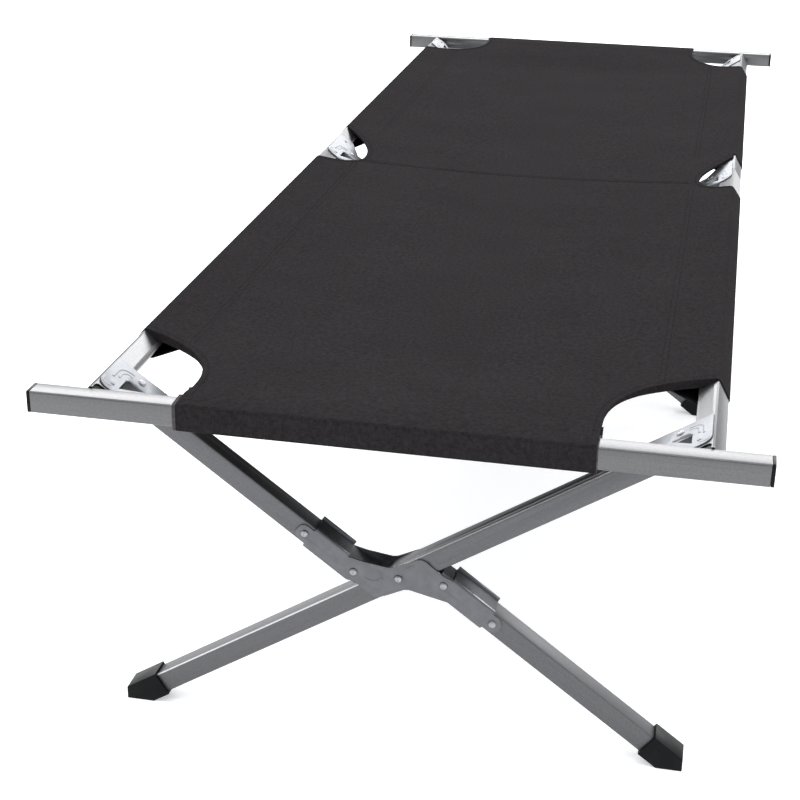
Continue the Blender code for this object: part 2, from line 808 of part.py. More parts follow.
def end_bar(end):
    """Square bar across a bed end, with two holes in its inner wall for the rail pegs."""
    towards = 1 if end == "near" else -1
    y = -(COT_LENGTH / 2 - HALF_TUBE) * towards
    start = Vector((-BAR_LENGTH / 2, y, BAR_HEIGHT))
    bar = square_tube(f"end_bar_{end}", start, Vector((1, 0, 0)), Vector((0, 0, 1)), BAR_LENGTH)
    holes = [rail_centre(side, -(BAR_INNER + TUBE_WALL / 2) * towards) for side in (1, -1)]
    drill(bar, holes, Y_AXIS, PEG_RADIUS + FIT, 1.5 * TUBE_WALL)
    for side in (1, -1):
        bar_plug(side, end, y)
    return bar


def bar_plug(side, end, y):
    """End plug: a thin flange on the bar's end and a square spigot inside it."""
    name = f"bar_plug_{side_word(side)}_{end}"
    outward = Vector((side, 0, 0))
    seat = Vector((side * (BAR_LENGTH / 2 + FIT), y, BAR_HEIGHT))
    across = Vector((0, 0, 1))
    turn = frame(seat, across, outward.cross(across))
    outline = rectangle(-HALF_TUBE, HALF_TUBE, -HALF_TUBE, HALF_TUBE, TUBE_CORNER)
    plug = slab(name, [outline], BAR_PLUG_FLANGE, turn, PLASTIC, COT)
    half = HALF_TUBE - TUBE_WALL - FIT
    spigot = rectangle(-half, half, -half, half)
    sunk = turn @ Matrix.Translation((0, 0, -BAR_PLUG_LENGTH))
    combine(plug, slab(name + "_spigot", [spigot], BAR_PLUG_LENGTH + BAR_PLUG_FLANGE / 2, sunk),
            "UNION")
    return plug


# Bed cloth

def rail_corner(side, along, across):
    """Corner of a rail with the cloth's clearance, at the signs along and across its leg."""
    up, over = leg_axes(side)
    reach = HALF_TUBE + FIT
    return rail_centre(side, 0) + up * along * reach + over * across * reach


def cloth_level():
    """Height of the cloth's underside, which rests on the rails' upper corners."""
    return max(rail_corner(1, 1, 1).z, rail_corner(-1, 1, 1).z)


def corner_cut(side, end):
    """Scallop at a bed corner: straight from the end hem, then a quarter ellipse to the rail."""
    ridge = rail_corner(side, 1, 1).x
    reach = CORNER_CUT_FAR if end > 0 else CORNER_CUT_NEAR
    points = [(ridge - side * CORNER_CUT_X, end * (COT_LENGTH / 2 + FIT), 0)]
    for step in range(CORNER_CUT_STEPS + 1):
        angle = math.pi / 2 * step / CORNER_CUT_STEPS
        x = ridge - side * CORNER_CUT_X * math.cos(angle)
        inward = CORNER_CUT_STRAIGHT + (reach - CORNER_CUT_STRAIGHT) * math.sin(angle)
        points.append((x, end * (COT_LENGTH / 2 - inward), 0))
    return points


def side_cut(side):
    """Scallop round the middle legs, as a half ellipse in the rail edge."""
    ridge = rail_corner(side, 1, 1).x
    points = []
    for step in range(SIDE_CUT_STEPS + 1):
        angle = math.pi * step / SIDE_CUT_STEPS
        x = ridge - side * SIDE_CUT_DEPTH * math.sin(angle)
        points.append((x, SIDE_CUT_Y - SIDE_CUT_HALF * math.cos(angle), 0))
    return points


def cloth_outline():
    right = corner_cut(1, -1) + side_cut(1) + corner_cut(1, 1)[::-1]
    left = corner_cut(-1, 1) + side_cut(-1)[::-1] + corner_cut(-1, -1)[::-1]
    return rounded(right + left)


def fold_edges(cage, edges, moves):
    """Grow a flap from the edges in steps, each step's new points placed by its move."""
    for move in moves:
        grown = bmesh.ops.extrude_edge_only(cage, edges=edges)
        verts = [item for item in grown["geom"] if isinstance(item, bmesh.types.BMVert)]
        edges = [item for item in grown["geom"] if isinstance(item, bmesh.types.BMEdge)]
        for vert in verts:
            move(vert)


def is_rail_edge(edge, ridge):
    first, second = edge.verts
    on_ridge = all(abs(vert.co.x - ridge) < SAME_PLACE for vert in edge.verts)
    return on_ridge and abs(first.co.y - second.co.y) > SIDE_CUT_HALF


def is_hem_edge(edge, hem):
    return all(abs(vert.co.y - hem) < SAME_PLACE for vert in edge.verts)


def fold_rail_sleeve(cage, side):
    """Sleeve round a rail: down its outer face, under it, and back up to the seam."""
    ridge = rail_corner(side, 1, 1)
    outer = rail_corner(side, 1, -1)
    bottom = rail_corner(side, -1, -1)
    seam = Vector((ridge.x - side * FLAP_SEAM, 0, cloth_level() - 2 * FIT))
    for part in (-1, 1):
        edges = [
            edge for edge in cage.edges
            if is_rail_edge(edge, ridge.x) and part * (edge.verts[0].co.y - SIDE_CUT_Y) > 0
        ]
        reaches = [part * vert.co.y for edge in edges for vert in edge.verts]
        middle = (min(reaches) + max(reaches)) / 2

        def mover(place, flare):
            def move(vert):
                at_bed_end = part * vert.co.y > middle
                vert.co.x = place.x
                vert.co.z = place.z
                vert.co.y += part * flare if at_bed_end else 0
            return move

        fold_edges(cage, edges, [mover(outer, FLAP_FLARE), mover(bottom, 0), mover(seam, 0)])


def fold_end_hem(cage, end):
    """Hem round an end bar: down its front, under it, and back up to the seam."""
    hem = end * (COT_LENGTH / 2 + FIT)
    low = BAR_HEIGHT - HALF_TUBE - FIT
    seam = (end * (BAR_INNER - HEM_SEAM), cloth_level() - 2 * FIT)
    edges = [edge for edge in cage.edges if is_hem_edge(edge, hem)]

    def mover(y, z):
        def move(vert):
            vert.co.y = y
            vert.co.z = z
        return move

    fold_edges(cage, edges, [mover(hem, low), mover(end * (BAR_INNER - FIT), low), mover(*seam)])


def bed_cloth():
    """One sheet with a sleeve for each rail half and a hem for each end bar."""
    mesh = outline_mesh("bed_fabric", [cloth_outline()], 0)
    cage = bmesh.new()
    cage.from_mesh(mesh)
    for vert in cage.verts:
        vert.co.z = cloth_level()
    for side in (1, -1):
        fold_rail_sleeve(cage, side)
    for end in (-1, 1):
        fold_end_hem(cage, end)
    bmesh.ops.recalc_face_normals(cage, faces=cage.faces)
    cage.faces.ensure_lookup_table()
    flattest = max(cage.faces, key=lambda face: abs(face.normal.z) * face.calc_area())
    if flattest.normal.z < 0:
        bmesh.ops.reverse_faces(cage, faces=cage.faces)
    cage.to_mesh(mesh)
    cage.free()
    cloth = add_object("bed_fabric", mesh, Matrix.Identity(4), FABRIC)
    thick = cloth.modifiers.new("thickness", "SOLIDIFY")
    thick.thickness = CLOTH
    thick.offset = 1.0
    thick.use_even_offset = True
    return cloth


# Joints

def joint_axis(name, place, prefixes):
    """Empty on a joint's axis, with the pieces that it moves parented to it."""
    empty = bpy.data.objects.new(name, None)
    COT.objects.link(empty)
    empty.location = place
    for obj in COT.objects:
        if obj.type == "MESH" and obj.name.startswith(prefixes):
            obj.parent = empty
            obj.matrix_parent_inverse = Matrix.Translation(place).inverted()


# Whole cot

for side in (1, -1):
    for end in ("near", "far"):
        rail_half(side, end)
        rail_plug(side, end)

for end in LEG_PLACES:
    straight_leg(end)
    upper_leg(end)
    lower_leg(end)
    centre_bracket(end)
    centre_rivets(end)
    for side in (1, -1):
        corner_plate(side, end)
        corner_rivet(side, end)
        foot(side, end)

for end in ("near", "far"):
    end_bar(end)

bed_cloth()

joint_axis("fold_axis", pivot_at(0), MOVES_WITH_LEFT_RAIL)
for end, sign in (("near", -1), ("far", 1)):
    bar_middle = Vector((0, sign * (COT_LENGTH / 2 - HALF_TUBE), BAR_HEIGHT))
    moved = (f"end_bar_{end}", f"bar_plug_left_{end}", f"bar_plug_right_{end}")
    joint_axis(f"end_bar_{end}_slide", bar_middle, moved)
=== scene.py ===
"""Looks of the folding camping cot: finishes, the bed cloth, pressed plates, rivets and caps.

Units are metres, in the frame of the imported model: X across the bed, Y along it, Z up.
"""
import json
import math

import bmesh
import bpy
from mathutils import Matrix, Vector

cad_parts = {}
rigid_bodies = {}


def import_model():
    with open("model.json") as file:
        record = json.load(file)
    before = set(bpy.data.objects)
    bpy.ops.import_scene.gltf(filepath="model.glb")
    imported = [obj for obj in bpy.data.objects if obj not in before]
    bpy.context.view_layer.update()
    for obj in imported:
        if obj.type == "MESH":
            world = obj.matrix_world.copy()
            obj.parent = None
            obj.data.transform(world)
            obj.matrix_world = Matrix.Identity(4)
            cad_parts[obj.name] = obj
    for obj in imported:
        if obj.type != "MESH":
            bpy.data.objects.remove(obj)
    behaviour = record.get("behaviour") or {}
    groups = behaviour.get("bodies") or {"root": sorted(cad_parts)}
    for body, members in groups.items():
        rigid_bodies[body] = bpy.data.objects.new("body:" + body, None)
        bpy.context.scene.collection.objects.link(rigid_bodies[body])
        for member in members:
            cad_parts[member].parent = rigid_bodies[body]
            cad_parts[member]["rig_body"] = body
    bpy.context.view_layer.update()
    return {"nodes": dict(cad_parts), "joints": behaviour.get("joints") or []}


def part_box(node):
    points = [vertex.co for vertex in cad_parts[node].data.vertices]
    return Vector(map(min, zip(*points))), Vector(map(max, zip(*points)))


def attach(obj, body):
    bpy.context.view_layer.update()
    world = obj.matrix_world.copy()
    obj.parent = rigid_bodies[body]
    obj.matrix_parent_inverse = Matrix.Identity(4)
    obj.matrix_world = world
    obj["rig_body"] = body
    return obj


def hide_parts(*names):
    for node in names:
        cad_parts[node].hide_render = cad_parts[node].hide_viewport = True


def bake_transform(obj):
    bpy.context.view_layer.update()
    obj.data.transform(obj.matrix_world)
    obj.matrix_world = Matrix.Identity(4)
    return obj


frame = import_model()

# Camera of the photograph: place, aim and lens
CAMERA_PLACE = Vector((0.2985, -2.412, 1.0600))
CAMERA_YAW = math.radians(-11.375)
CAMERA_PITCH = math.radians(23.351)
CAMERA_ROLL = math.radians(0.925)
CAMERA_LENS = 72.97
SENSOR = 36.0

# Clearance kept the same all over the cot, and the wall of its pressed sheet
FIT = 0.0003
SHEET = 0.0015

# Bed cloth: its wall, the drop of its middle below the rails, and the share of that drop that
# lies over the rail sleeves, which end in a seam
CLOTH = 0.0012
CLOTH_SAG = 0.017
SLEEVE_DROP = 0.0092
SLEEVE_SEAM = 0.062
SLEEVE_STEEP = 0.35
SAG_RUN = 0.22
LEVEL_RUN = 0.15
FOLD_RADIUS = 0.003
UNDER_FLARE = 0.85
FLARE_RUN = 0.12
PLAIN_Y = 0.3
CUT_STEPS = 22
ROW_STEP = 0.012

# Cross seam: its place, the dip that it draws, and its section as (way along the bed, lift)
SEAM_Y = -0.016
SEAM_DIP = 0.0006
SEAM_DIP_WIDTH = 0.0035
SEAM_SECTION = ((-0.0026, 0.0), (-0.0018, 0.8), (0.0, 1.0), (0.0018, 0.8), (0.0026, 0.0))

# End hems: how far their top layer lies over the sheet, the seam below, slack, and spread
HEM_CLOTH = 0.0009
HEM_TOP = 0.070
HEM_SEAM = 0.030
HEM_SLACK = 0.0030
HEM_ROWS = 6
HEM_COLUMNS = 48
TAPE_COLUMNS = 3
HEM_RISE_ROWS = 4
HEM_END_TAPE = {1: 0.0012, -1: 0.0036}
HEM_BULGE = 0.0007
HEM_SPREAD = 0.003
HEM_SPREAD_FROM = 0.028
HEM_SPREAD_RUN = 0.02
HEM_TAPE_WALL = HEM_CLOTH * 0.7
TUCK = 0.025

# Cut-outs at the bed's corners: how far along the rail, how deep from the ridge, and how square
CUT_STRAIGHT = 0.060
CORNER_CUTS = {
    (-1, "near"): {"reach": 0.188, "depth": 0.103, "square": 0.62},
    (1, "near"): {"reach": 0.193, "depth": 0.110, "square": 0.42},
    (-1, "far"): {"reach": 0.145, "depth": 0.112, "square": 0.38},
    (1, "far"): {"reach": 0.172, "depth": 0.100, "square": 0.50},
}

# Cut-outs round the middle legs, deepest near their near end
SIDE_CUTS = {
    -1: {"deepest": 0.002, "near": 0.040, "far": 0.156, "depth": 0.0655,
         "near_square": 0.38, "far_square": 1.0},
    1: {"deepest": -0.004, "near": 0.046, "far": 0.144, "depth": 0.050,
        "near_square": 0.35, "far_square": 1.65},
}

# Sleeve ends: how far the outer face reaches past the cut-out on each side
SLEEVE_FLARE = {
    1: {"corner": 0.006, "middle": 0.006},
    -1: {"corner": -0.002, "middle": 0.028},
}

# Bound edges and sewing thread
BAND_WIDTH = 0.0080
BAND_RISE = 0.0007
BAND_TURN_DOWN = {"near": 0.007, "middle": 0.001, "far": 0.003}
STITCH_LENGTH = 0.0026
STITCH_PITCH = 0.0038
THREAD = 0.00045
STITCH_SIDES = 5
# Sewing on a band: its place across the band and its height, as shares of the band's
SEWN_AT = 0.78
SEWN_RISE = 0.75
# Two rows of sewing on each sleeve and on the cross seam, and how far a sleeve's rows run on
SLEEVE_SEWING = (0.0, 0.006)
SEAM_SEWING = (-0.0045, 0.0045)
SEWN_PAST = 0.012
SEWN_STEPS = {"sleeve": 80, "seam": 60}
# Rings of a stitch: way along it, width and rise, as shares
STITCH_RINGS = ((-0.5, 0.4, -0.3), (-0.2, 1.0, 0.6), (0.2, 1.0, 0.6), (0.5, 0.4, -0.3))
ROW_GAP = 0.0008


# Places worked out from the frame

def centre(node):
    low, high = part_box(node)
    return (low + high) / 2


def size(node):
    low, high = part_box(node)
    return high - low


def joint(name):
    return next(item for item in frame["joints"] if item["name"] == name)


ENDS = ("near", "middle", "far")
SIDE_WORDS = {1: "right", -1: "left"}
TUBE = size("end_bar_near").z
HALF_TUBE = TUBE / 2
PIVOT = Vector(joint("fold")["pos_m"])
RAIL = {side: centre(f"{word}_rail_near") * Vector((1, 0, 1)) for side, word in SIDE_WORDS.items()}
LEG_Y = {end: centre(f"straight_leg_{end}").y for end in ENDS}
BAR_Y = {end: centre(f"end_bar_{end}").y for end in ("near", "far")}
BAR_Z = centre("end_bar_near").z
UPPER_LEG = centre("upper_leg_near")
UP = {
    1: (RAIL[1] - PIVOT).normalized(),
    -1: (RAIL[-1] - Vector((UPPER_LEG.x, 0, UPPER_LEG.z))).normalized(),
}
OVER = {1: Vector((-UP[1].z, 0, UP[1].x)), -1: Vector((UP[-1].z, 0, -UP[-1].x))}
QUARTER = math.pi / 2
X_AXIS = Vector((1, 0, 0))
Y_AXIS = Vector((0, 1, 0))


def on_rail(side, along, across, y=0.0):
    """Point off a rail's axis, along its leg and out of the leg's upper face."""
    return RAIL[side] + UP[side] * along + OVER[side] * across + Y_AXIS * y


REACH = HALF_TUBE + FIT
RIDGE = {side: on_rail(side, REACH, REACH) for side in (1, -1)}
RIDGE_LEVEL = max(RIDGE[1].z, RIDGE[-1].z) + CLOTH
BAR_TOP = BAR_Z + REACH + CLOTH
BAR_INNER = abs(BAR_Y["near"]) - HALF_TUBE
BAR_OUTER = abs(BAR_Y["near"]) + HALF_TUBE


# Nodes and colours

def srgb(code):
    """Linear colour of an sRGB hex value."""
    values = [int(code[place:place + 2], 16) / 255 for place in (0, 2, 4)]
    linear = [v / 12.92 if v <= 0.04045 else ((v + 0.055) / 1.055) ** 2.4 for v in values]
    return (*linear, 1.0)


def add_node(material, kind, settings=None, links=None):
    """Node of a material's tree with its settings, input values and incoming links."""
    node = material.node_tree.nodes.new(kind)
    for key, value in (settings or {}).items():
        if isinstance(key, str) and hasattr(node, key):
            setattr(node, key, value)
        else:
            node.inputs[key].default_value = value
    for key, (source, output) in (links or {}).items():
        material.node_tree.links.new(source.outputs[output], node.inputs[key])
    return node


def colour_steps(material, source, output, steps):
    """Ramp from a value through (place, hex colour) steps."""
    ramp = add_node(material, "ShaderNodeValToRGB", links={"Fac": (source, output)})
    elements = ramp.color_ramp.elements
    while len(elements) < len(steps):
        elements.new(0.5)
    for element, (place, code) in zip(elements, steps):
        element.position = place
        element.color = srgb(code)
    return ramp


def new_material(name):
    """Material with a bare principled shader, and its place coordinates in metres."""
    material = bpy.data.materials.new(name)
    material.use_nodes = True
    shader = material.node_tree.nodes["Principled BSDF"]
    place = add_node(material, "ShaderNodeTexCoord")
    return material, shader, place


def join(material, source, output, node, socket):
    material.node_tree.links.new(source.outputs[output], node.inputs[socket])


# Finishes

def noise(material, scale, detail, roughness, source, output="Object"):
    """Noise over a piece, its scale per metre."""
    return add_node(material, "ShaderNodeTexNoise",
                    {"Scale": scale, "Detail": detail, "Roughness": roughness},
                    {"Vector": (source, output)})


def set_colour(material, shader, pattern, output, steps):
    """Colour that follows a pattern through (place, hex colour) steps."""
    tint = colour_steps(material, pattern, output, steps)
    join(material, tint, "Color", shader, "Base Color")


def multiplied(material, first, second, factor):
    """One colour darkened by another."""
    mix = add_node(material, "ShaderNodeMix", {"data_type": "RGBA", "blend_type": "MULTIPLY"})
    mix.inputs["Factor"].default_value = factor
    join(material, first, "Color", mix, "A")
    join(material, second, "Color", mix, "B")
    return mix


def set_roughness(material, shader, pattern, rough):
    """Roughness that follows a pattern between two values."""
    spread = add_node(material, "ShaderNodeMapRange",
                      {"To Min": rough[0], "To Max": rough[1]}, {"Value": (pattern, "Fac")})
    join(material, spread, "Result", shader, "Roughness")


def set_bump(material, shader, pattern, output, strength, height):
    """Relief of a pattern, its height in metres."""
    bump = add_node(material, "ShaderNodeBump", {"Strength": strength, "Distance": height},
                    {"Height": (pattern, output)})
    join(material, bump, "Normal", shader, "Normal")


def anodised_aluminium(name, turn, dark, pale, rough=(0.28, 0.38)):
    """Extruded tube, satin anodised: fine die lines along its length and a soft sheen."""
    material, shader, place = new_material(name)
    shader.inputs["Metallic"].default_value = 0.9
    along = add_node(material, "ShaderNodeMapping", {"Rotation": turn},
                     {"Vector": (place, "Object")})
    # Die lines are 0.1 mm apart, drawn 0.6 mm wide so that they show
    lines = add_node(material, "ShaderNodeMapping", {"Scale": (8, 900, 900)},
                     {"Vector": (along, "Vector")})
    grain = noise(material, 1.0, 3.0, 0.6, lines, "Vector")
    cloud = noise(material, 420.0, 4.0, 0.55, place)
    tint = colour_steps(material, cloud, "Fac", [(0.30, dark), (0.70, pale)])
    shade = colour_steps(material, grain, "Fac", [(0.25, "b8b8bc"), (0.75, "ffffff")])
    lined = multiplied(material, tint, shade, 0.35)
    join(material, lined, "Result", shader, "Base Color")
    set_roughness(material, shader, grain, rough)
    set_bump(material, shader, grain, "Fac", 0.10, 0.0002)
    return material


def plated_steel(name, dark, pale, rough):
    """Pressed sheet, zinc plated: bluish grey with a faint mottle from the bath."""
    material, shader, place = new_material(name)
    shader.inputs["Metallic"].default_value = 0.9
    cloud = noise(material, 90.0, 5.0, 0.6, place)
    set_colour(material, shader, cloud, "Fac", [(0.30, dark), (0.70, pale)])
    set_roughness(material, shader, cloud, rough)
    set_bump(material, shader, cloud, "Fac", 0.08, 0.0003)
    return material


def rivet_steel():
    """Cold-headed rivet steel, bright plated: paler and glossier than the sheet round it."""
    material, shader, place = new_material("bright_rivet_steel")
    shader.inputs["Metallic"].default_value = 1.0
    specks = noise(material, 600.0, 2.0, 0.5, place)
    set_colour(material, shader, specks, "Fac", [(0.35, "8f8f91"), (0.70, "a6a6a8")])
    set_roughness(material, shader, specks, (0.30, 0.42))
    return material


def moulded_plastic():
    """Injection-moulded polypropylene, black: fine spark-eroded grain and a soft gloss."""
    material, shader, place = new_material("black_polypropylene")
    shader.inputs["IOR"].default_value = 1.49
    shader.inputs["Specular IOR Level"].default_value = 0.12
    # Spark grain is 0.05 mm, drawn 0.8 mm coarse
    grain = add_node(material, "ShaderNodeTexVoronoi", {"Scale": 1200.0},
                     {"Vector": (place, "Object")})
    cloud = noise(material, 60.0, 4.0, 0.5, place)
    set_colour(material, shader, cloud, "Fac", [(0.30, "060707"), (0.72, "0d1011")])
    set_roughness(material, shader, cloud, (0.30, 0.45))
    set_bump(material, shader, grain, "Distance", 0.12, 0.0002)
    return material


def woven_polyester(name, dark, pale):
    """Plain weave polyester, coated on its back: matt charcoal with flecks of paler thread."""
    material, shader, place = new_material(name)
    shader.inputs["IOR"].default_value = 1.5
    shader.inputs["Roughness"].default_value = 0.95
    shader.inputs["Specular IOR Level"].default_value = 0.01
    # Threads are 0.5 mm apart, drawn 1.5 mm apart so that the weave shows
    warp, weft = [
        add_node(material, "ShaderNodeTexWave",
                 {"wave_type": "BANDS", "bands_direction": axis, "Scale": 210.0,
                  "Distortion": 2.5, "Detail": 2.0, "Detail Scale": 3.0},
                 {"Vector": (place, "Object")})
        for axis in ("X", "Y")]
    weave = add_node(material, "ShaderNodeMath", {"operation": "MULTIPLY"},
                     {0: (warp, "Fac"), 1: (weft, "Fac")})
    fleck = noise(material, 240.0, 5.0, 0.75, place)
    cloud = noise(material, 9.0, 3.0, 0.5, place)
    mixed = add_node(material, "ShaderNodeMath", {"operation": "MULTIPLY_ADD", 1: 0.16},
                     {0: (weave, "Value"), 2: (fleck, "Fac")})
    tint = colour_steps(material, mixed, "Value", [(0.32, dark), (0.78, pale)])
    patches = colour_steps(material, cloud, "Fac", [(0.30, "d2cfd2"), (0.70, "ffffff")])
    worn = multiplied(material, tint, patches, 0.30)
    join(material, worn, "Result", shader, "Base Color")
    set_bump(material, shader, mixed, "Value", 0.30, 0.0003)
    return material


STRAIGHT_TURN = math.atan2(UP[1].z, UP[1].x)
SPLIT_TURN = math.atan2(UP[-1].z, UP[-1].x)
BAR_METAL = anodised_aluminium("anodised_aluminium_bars", (0, 0, 0), "646465", "6f6f70")
RAIL_METAL = anodised_aluminium(
    "anodised_aluminium_rails", (0, 0, math.radians(90)), "6e6e6f", "7a7a7b")
STRAIGHT_METAL = anodised_aluminium(
    "anodised_aluminium_straight_legs", (0, STRAIGHT_TURN, 0), "606062", "6a6a6c", (0.38, 0.48))
SPLIT_METAL = anodised_aluminium(
    "anodised_aluminium_split_legs", (0, SPLIT_TURN, 0), "606062", "6a6a6c", (0.38, 0.48))
# Painted highlight: a pale, glossy copy of the tube finish for edges that face up, standing in for
# lit lines along them
PAINTED_HIGHLIGHT_METAL = anodised_aluminium(
    "burnished_aluminium_edges", (0, 0, 0), "b6b6b8", "c8c8ca", rough=(0.20, 0.30))
# Painted highlight: a near-white copy of the leg finish for the straight legs' rounded corners
PAINTED_LEG_HIGHLIGHT_METAL = anodised_aluminium(
    "rubbed_leg_edges", (0, STRAIGHT_TURN, 0), "dadadc", "e6e6e8", (0.55, 0.65))
STEEL = plated_steel("zinc_plated_bracket_steel", "606164", "6c6d70", (0.36, 0.48))
PLATE_STEEL = plated_steel("bright_zinc_plate_steel", "85878b", "929497", (0.48, 0.58))
RIVET = rivet_steel()
PLASTIC = moulded_plastic()
FABRIC = woven_polyester("charcoal_polyester", "1c1a1b", "302e2f")
END_TAPE = woven_polyester("grey_hem_end_tape", "3a3739", "585557")
TAPE = woven_polyester("charcoal_edge_tape", "1b191a", "2f2d2e")
THREAD_YARN = woven_polyester("charcoal_sewing_thread", "181718", "292829")


# Finish and material slot of a node by the first word that its name holds
FINISHES = (
    ("rivet", RIVET, "rivet_steel"),
    ("plug", PLASTIC, "black_plastic"),
    ("foot", PLASTIC, "black_plastic"),
    ("plate", PLATE_STEEL, "bracket_steel"),
    ("bracket", STEEL, "bracket_steel"),
    ("rail", RAIL_METAL, "tube_aluminium"),
    ("end_bar", BAR_METAL, "tube_aluminium"),
    ("straight_leg", STRAIGHT_METAL, "tube_aluminium"),
    ("leg", SPLIT_METAL, "tube_aluminium"),
    ("bed_fabric", FABRIC, "bed_cloth"),
)


def finish_of(name):
    return next((finish, slot) for word, finish, slot in FINISHES if word in name)


def finish_frame():
    """Finishes of the CAD nodes, which the finer pieces below stand for."""
    for name in frame["nodes"]:
        set_material(frame["nodes"][name], finish_of(name)[0])


# Modelling by hand

MERGE = 0.000002
FLAT_ANGLE = math.radians(1.0)


def deselect_all():
    for piece in bpy.context.view_layer.objects:
        piece.select_set(False)


def select_only(*pieces):
    """These pieces are selected, and the first is the active one."""
    deselect_all()
    for piece in pieces:
        piece.select_set(True)
    bpy.context.view_layer.objects.active = pieces[0]


def edit(piece):
    """Edit mode on one piece with nothing selected."""
    select_only(piece)
    bpy.ops.object.mode_set(mode="EDIT")
    bpy.ops.mesh.select_all(action="DESELECT")


def leave_edit():
    bpy.ops.object.mode_set(mode="OBJECT")


def pick(kind, test):
    """Selects the edited mesh's verts, edges or faces that pass a test, and nothing else."""
    bpy.ops.mesh.select_all(action="DESELECT")
    bpy.ops.mesh.select_mode(type=kind[:-1].upper())
    cage = bmesh.from_edit_mesh(bpy.context.edit_object.data)
    for item in getattr(cage, kind):
        if test(item):
            item.select_set(True)
    cage.select_flush_mode()
    bmesh.update_edit_mesh(bpy.context.edit_object.data)


def new_object(name, data):
    made = bpy.data.objects.new(name, data)
    bpy.context.scene.collection.objects.link(made)
    return made


def new_primitive(operator, name, **settings):
    """A primitive of its own name, ready to be edited, with nothing else selected."""
    deselect_all()
    operator(**settings)
    piece = bpy.context.active_object
    piece.name = name
    bpy.ops.object.transform_apply(location=True, rotation=True, scale=True)
    return piece


def join_pieces(first, others):
    select_only(first, *others)
    bpy.ops.object.join()
    return first


def apply_modifiers(piece):
    select_only(piece)
    for modifier in list(piece.modifiers):
        bpy.ops.object.modifier_apply(modifier=modifier.name)


def thickened(piece, wall):
    """Gives a bare surface its wall, on the side that it faces."""
    solid = piece.modifiers.new("wall", "SOLIDIFY")
    solid.thickness = wall
    solid.offset = 1.0
    apply_modifiers(piece)


def smooth_shaded(piece, angle):
    select_only(piece)
    bpy.ops.object.shade_smooth_by_angle(angle=math.radians(angle))


def set_material(piece, material):
    piece.data.materials.clear()
    piece.data.materials.append(material)


def bevelled(piece, width, angle, edge_slot=-1):
    """Rounds all edges sharper than an angle; the new faces may take a slot of their own."""
    bevel = piece.modifiers.new("soft_edges", "BEVEL")
    bevel.material = edge_slot
    bevel.width = width
    bevel.segments = 2
    bevel.limit_method = "ANGLE"
    bevel.angle_limit = math.radians(angle)
    even = piece.modifiers.new("even_normals", "WEIGHTED_NORMAL")
    even.keep_sharp = True
    apply_modifiers(piece)
    smooth_shaded(piece, angle)


def placed_copy(model, name, turn):
    """Copy of a model with its own mesh, put in place and turned right side out."""
    mesh = model.data.copy()
    mesh.transform(turn)
    if turn.determinant() < 0:
        mesh.flip_normals()
    return new_object(name, mesh)


def merged_copy(node, name):
    """Copy of a CAD node with its loose triangles made into clean faces."""
    piece = new_object(name, frame["nodes"][node].data.copy())
    edit(piece)
    bpy.ops.mesh.select_all(action="SELECT")
    bpy.ops.mesh.remove_doubles(threshold=MERGE)
    bpy.ops.mesh.dissolve_limited(angle_limit=FLAT_ANGLE)
    leave_edit()
    return piece


def stand_for(piece, node):
    """The piece rides as the CAD node does and is shown in its place."""
    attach(piece, frame["nodes"][node]["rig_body"])
    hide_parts(node)


def put_away(model):
    bpy.data.objects.remove(model, do_unlink=True)


# Tubes, caps and plugs, whose edges are softened as extruded and moulded edges are

TUBE_EDGE = 0.0006
CAP_EDGE = 0.0007
EDGE_TURN = 0.25
ROUND_CORNER = (0.12, 0.98)


def soft_edged_pieces():
    """Tubes with a painted highlight on their upper edges, and feet and plugs in their plain
    finish.
    """
    for name in frame["nodes"]:
        finish, slot = finish_of(name)
        if slot not in ("tube_aluminium", "black_plastic"):
            continue
        piece = merged_copy(name, name + "_finished")
        set_material(piece, finish)
        if slot == "black_plastic":
            bevelled(piece, CAP_EDGE, 50)
        else:
            is_straight = name.startswith("straight_leg")
            # Slot 1 is a painted highlight for the new bevels and, on straight legs, for their
            # rounded corners
            piece.data.materials.append(PAINTED_LEG_HIGHLIGHT_METAL if is_straight else PAINTED_HIGHLIGHT_METAL)
            bevelled(piece, TUBE_EDGE, 50, edge_slot=1)
            if is_straight:
                paint_round_corner_highlights(piece)
            keep_highlights_on_upper_edges(piece)
        stand_for(piece, name)


def paint_round_corner_highlights(piece):
    """Painted highlight: a leg tube's rounded corners take the pale metal of slot 1, drawn as a
    lit line along them.
    """
    for face in piece.data.polygons:
        if ROUND_CORNER[0] < abs(face.normal.y) < ROUND_CORNER[1]:
            face.material_index = 1


def keep_highlights_on_upper_edges(piece):
    """The painted highlight is kept only on edges that face up; the others go back to the piece's
    own finish.
    """
    for face in piece.data.polygons:
        if face.material_index == 1 and face.normal.z < EDGE_TURN:
            face.material_index = 0


# Rivets

RIVET_HEAD = 0.0042
RIVET_RISE = 0.0013
RIVET_DIMPLE = 0.0012
RIVET_SHANK = 0.0024
RIVET_RIM = 0.0006
RUN = 0.0004
# Insets and rises that shape a head: its rounded rim, its crown and the dimple
RIVET_STEPS = (
    (0.0007, RIVET_RISE * 0.55),
    (0.0010, RIVET_RISE * 0.40),
    (RIVET_HEAD - 0.0017 - RIVET_DIMPLE, RIVET_RISE * 0.05),
    (0.0003, -0.0004),
)


def rivet_head():
    """Cold-headed rivet: a rounded rim, a flat crown and the small dimple of the setting tool."""
    head = new_primitive(
        bpy.ops.mesh.primitive_cylinder_add, "rivet_head",
        vertices=20, radius=RIVET_HEAD, depth=RIVET_RIM, location=(0, 0, RIVET_RIM / 2))
    edit(head)
    pick("faces", lambda face: face.normal.z > 0.9)
    for inset, rise in RIVET_STEPS:
        bpy.ops.mesh.inset(thickness=inset)
        bpy.ops.transform.translate(value=(0, 0, rise))
    leave_edit()
    return head


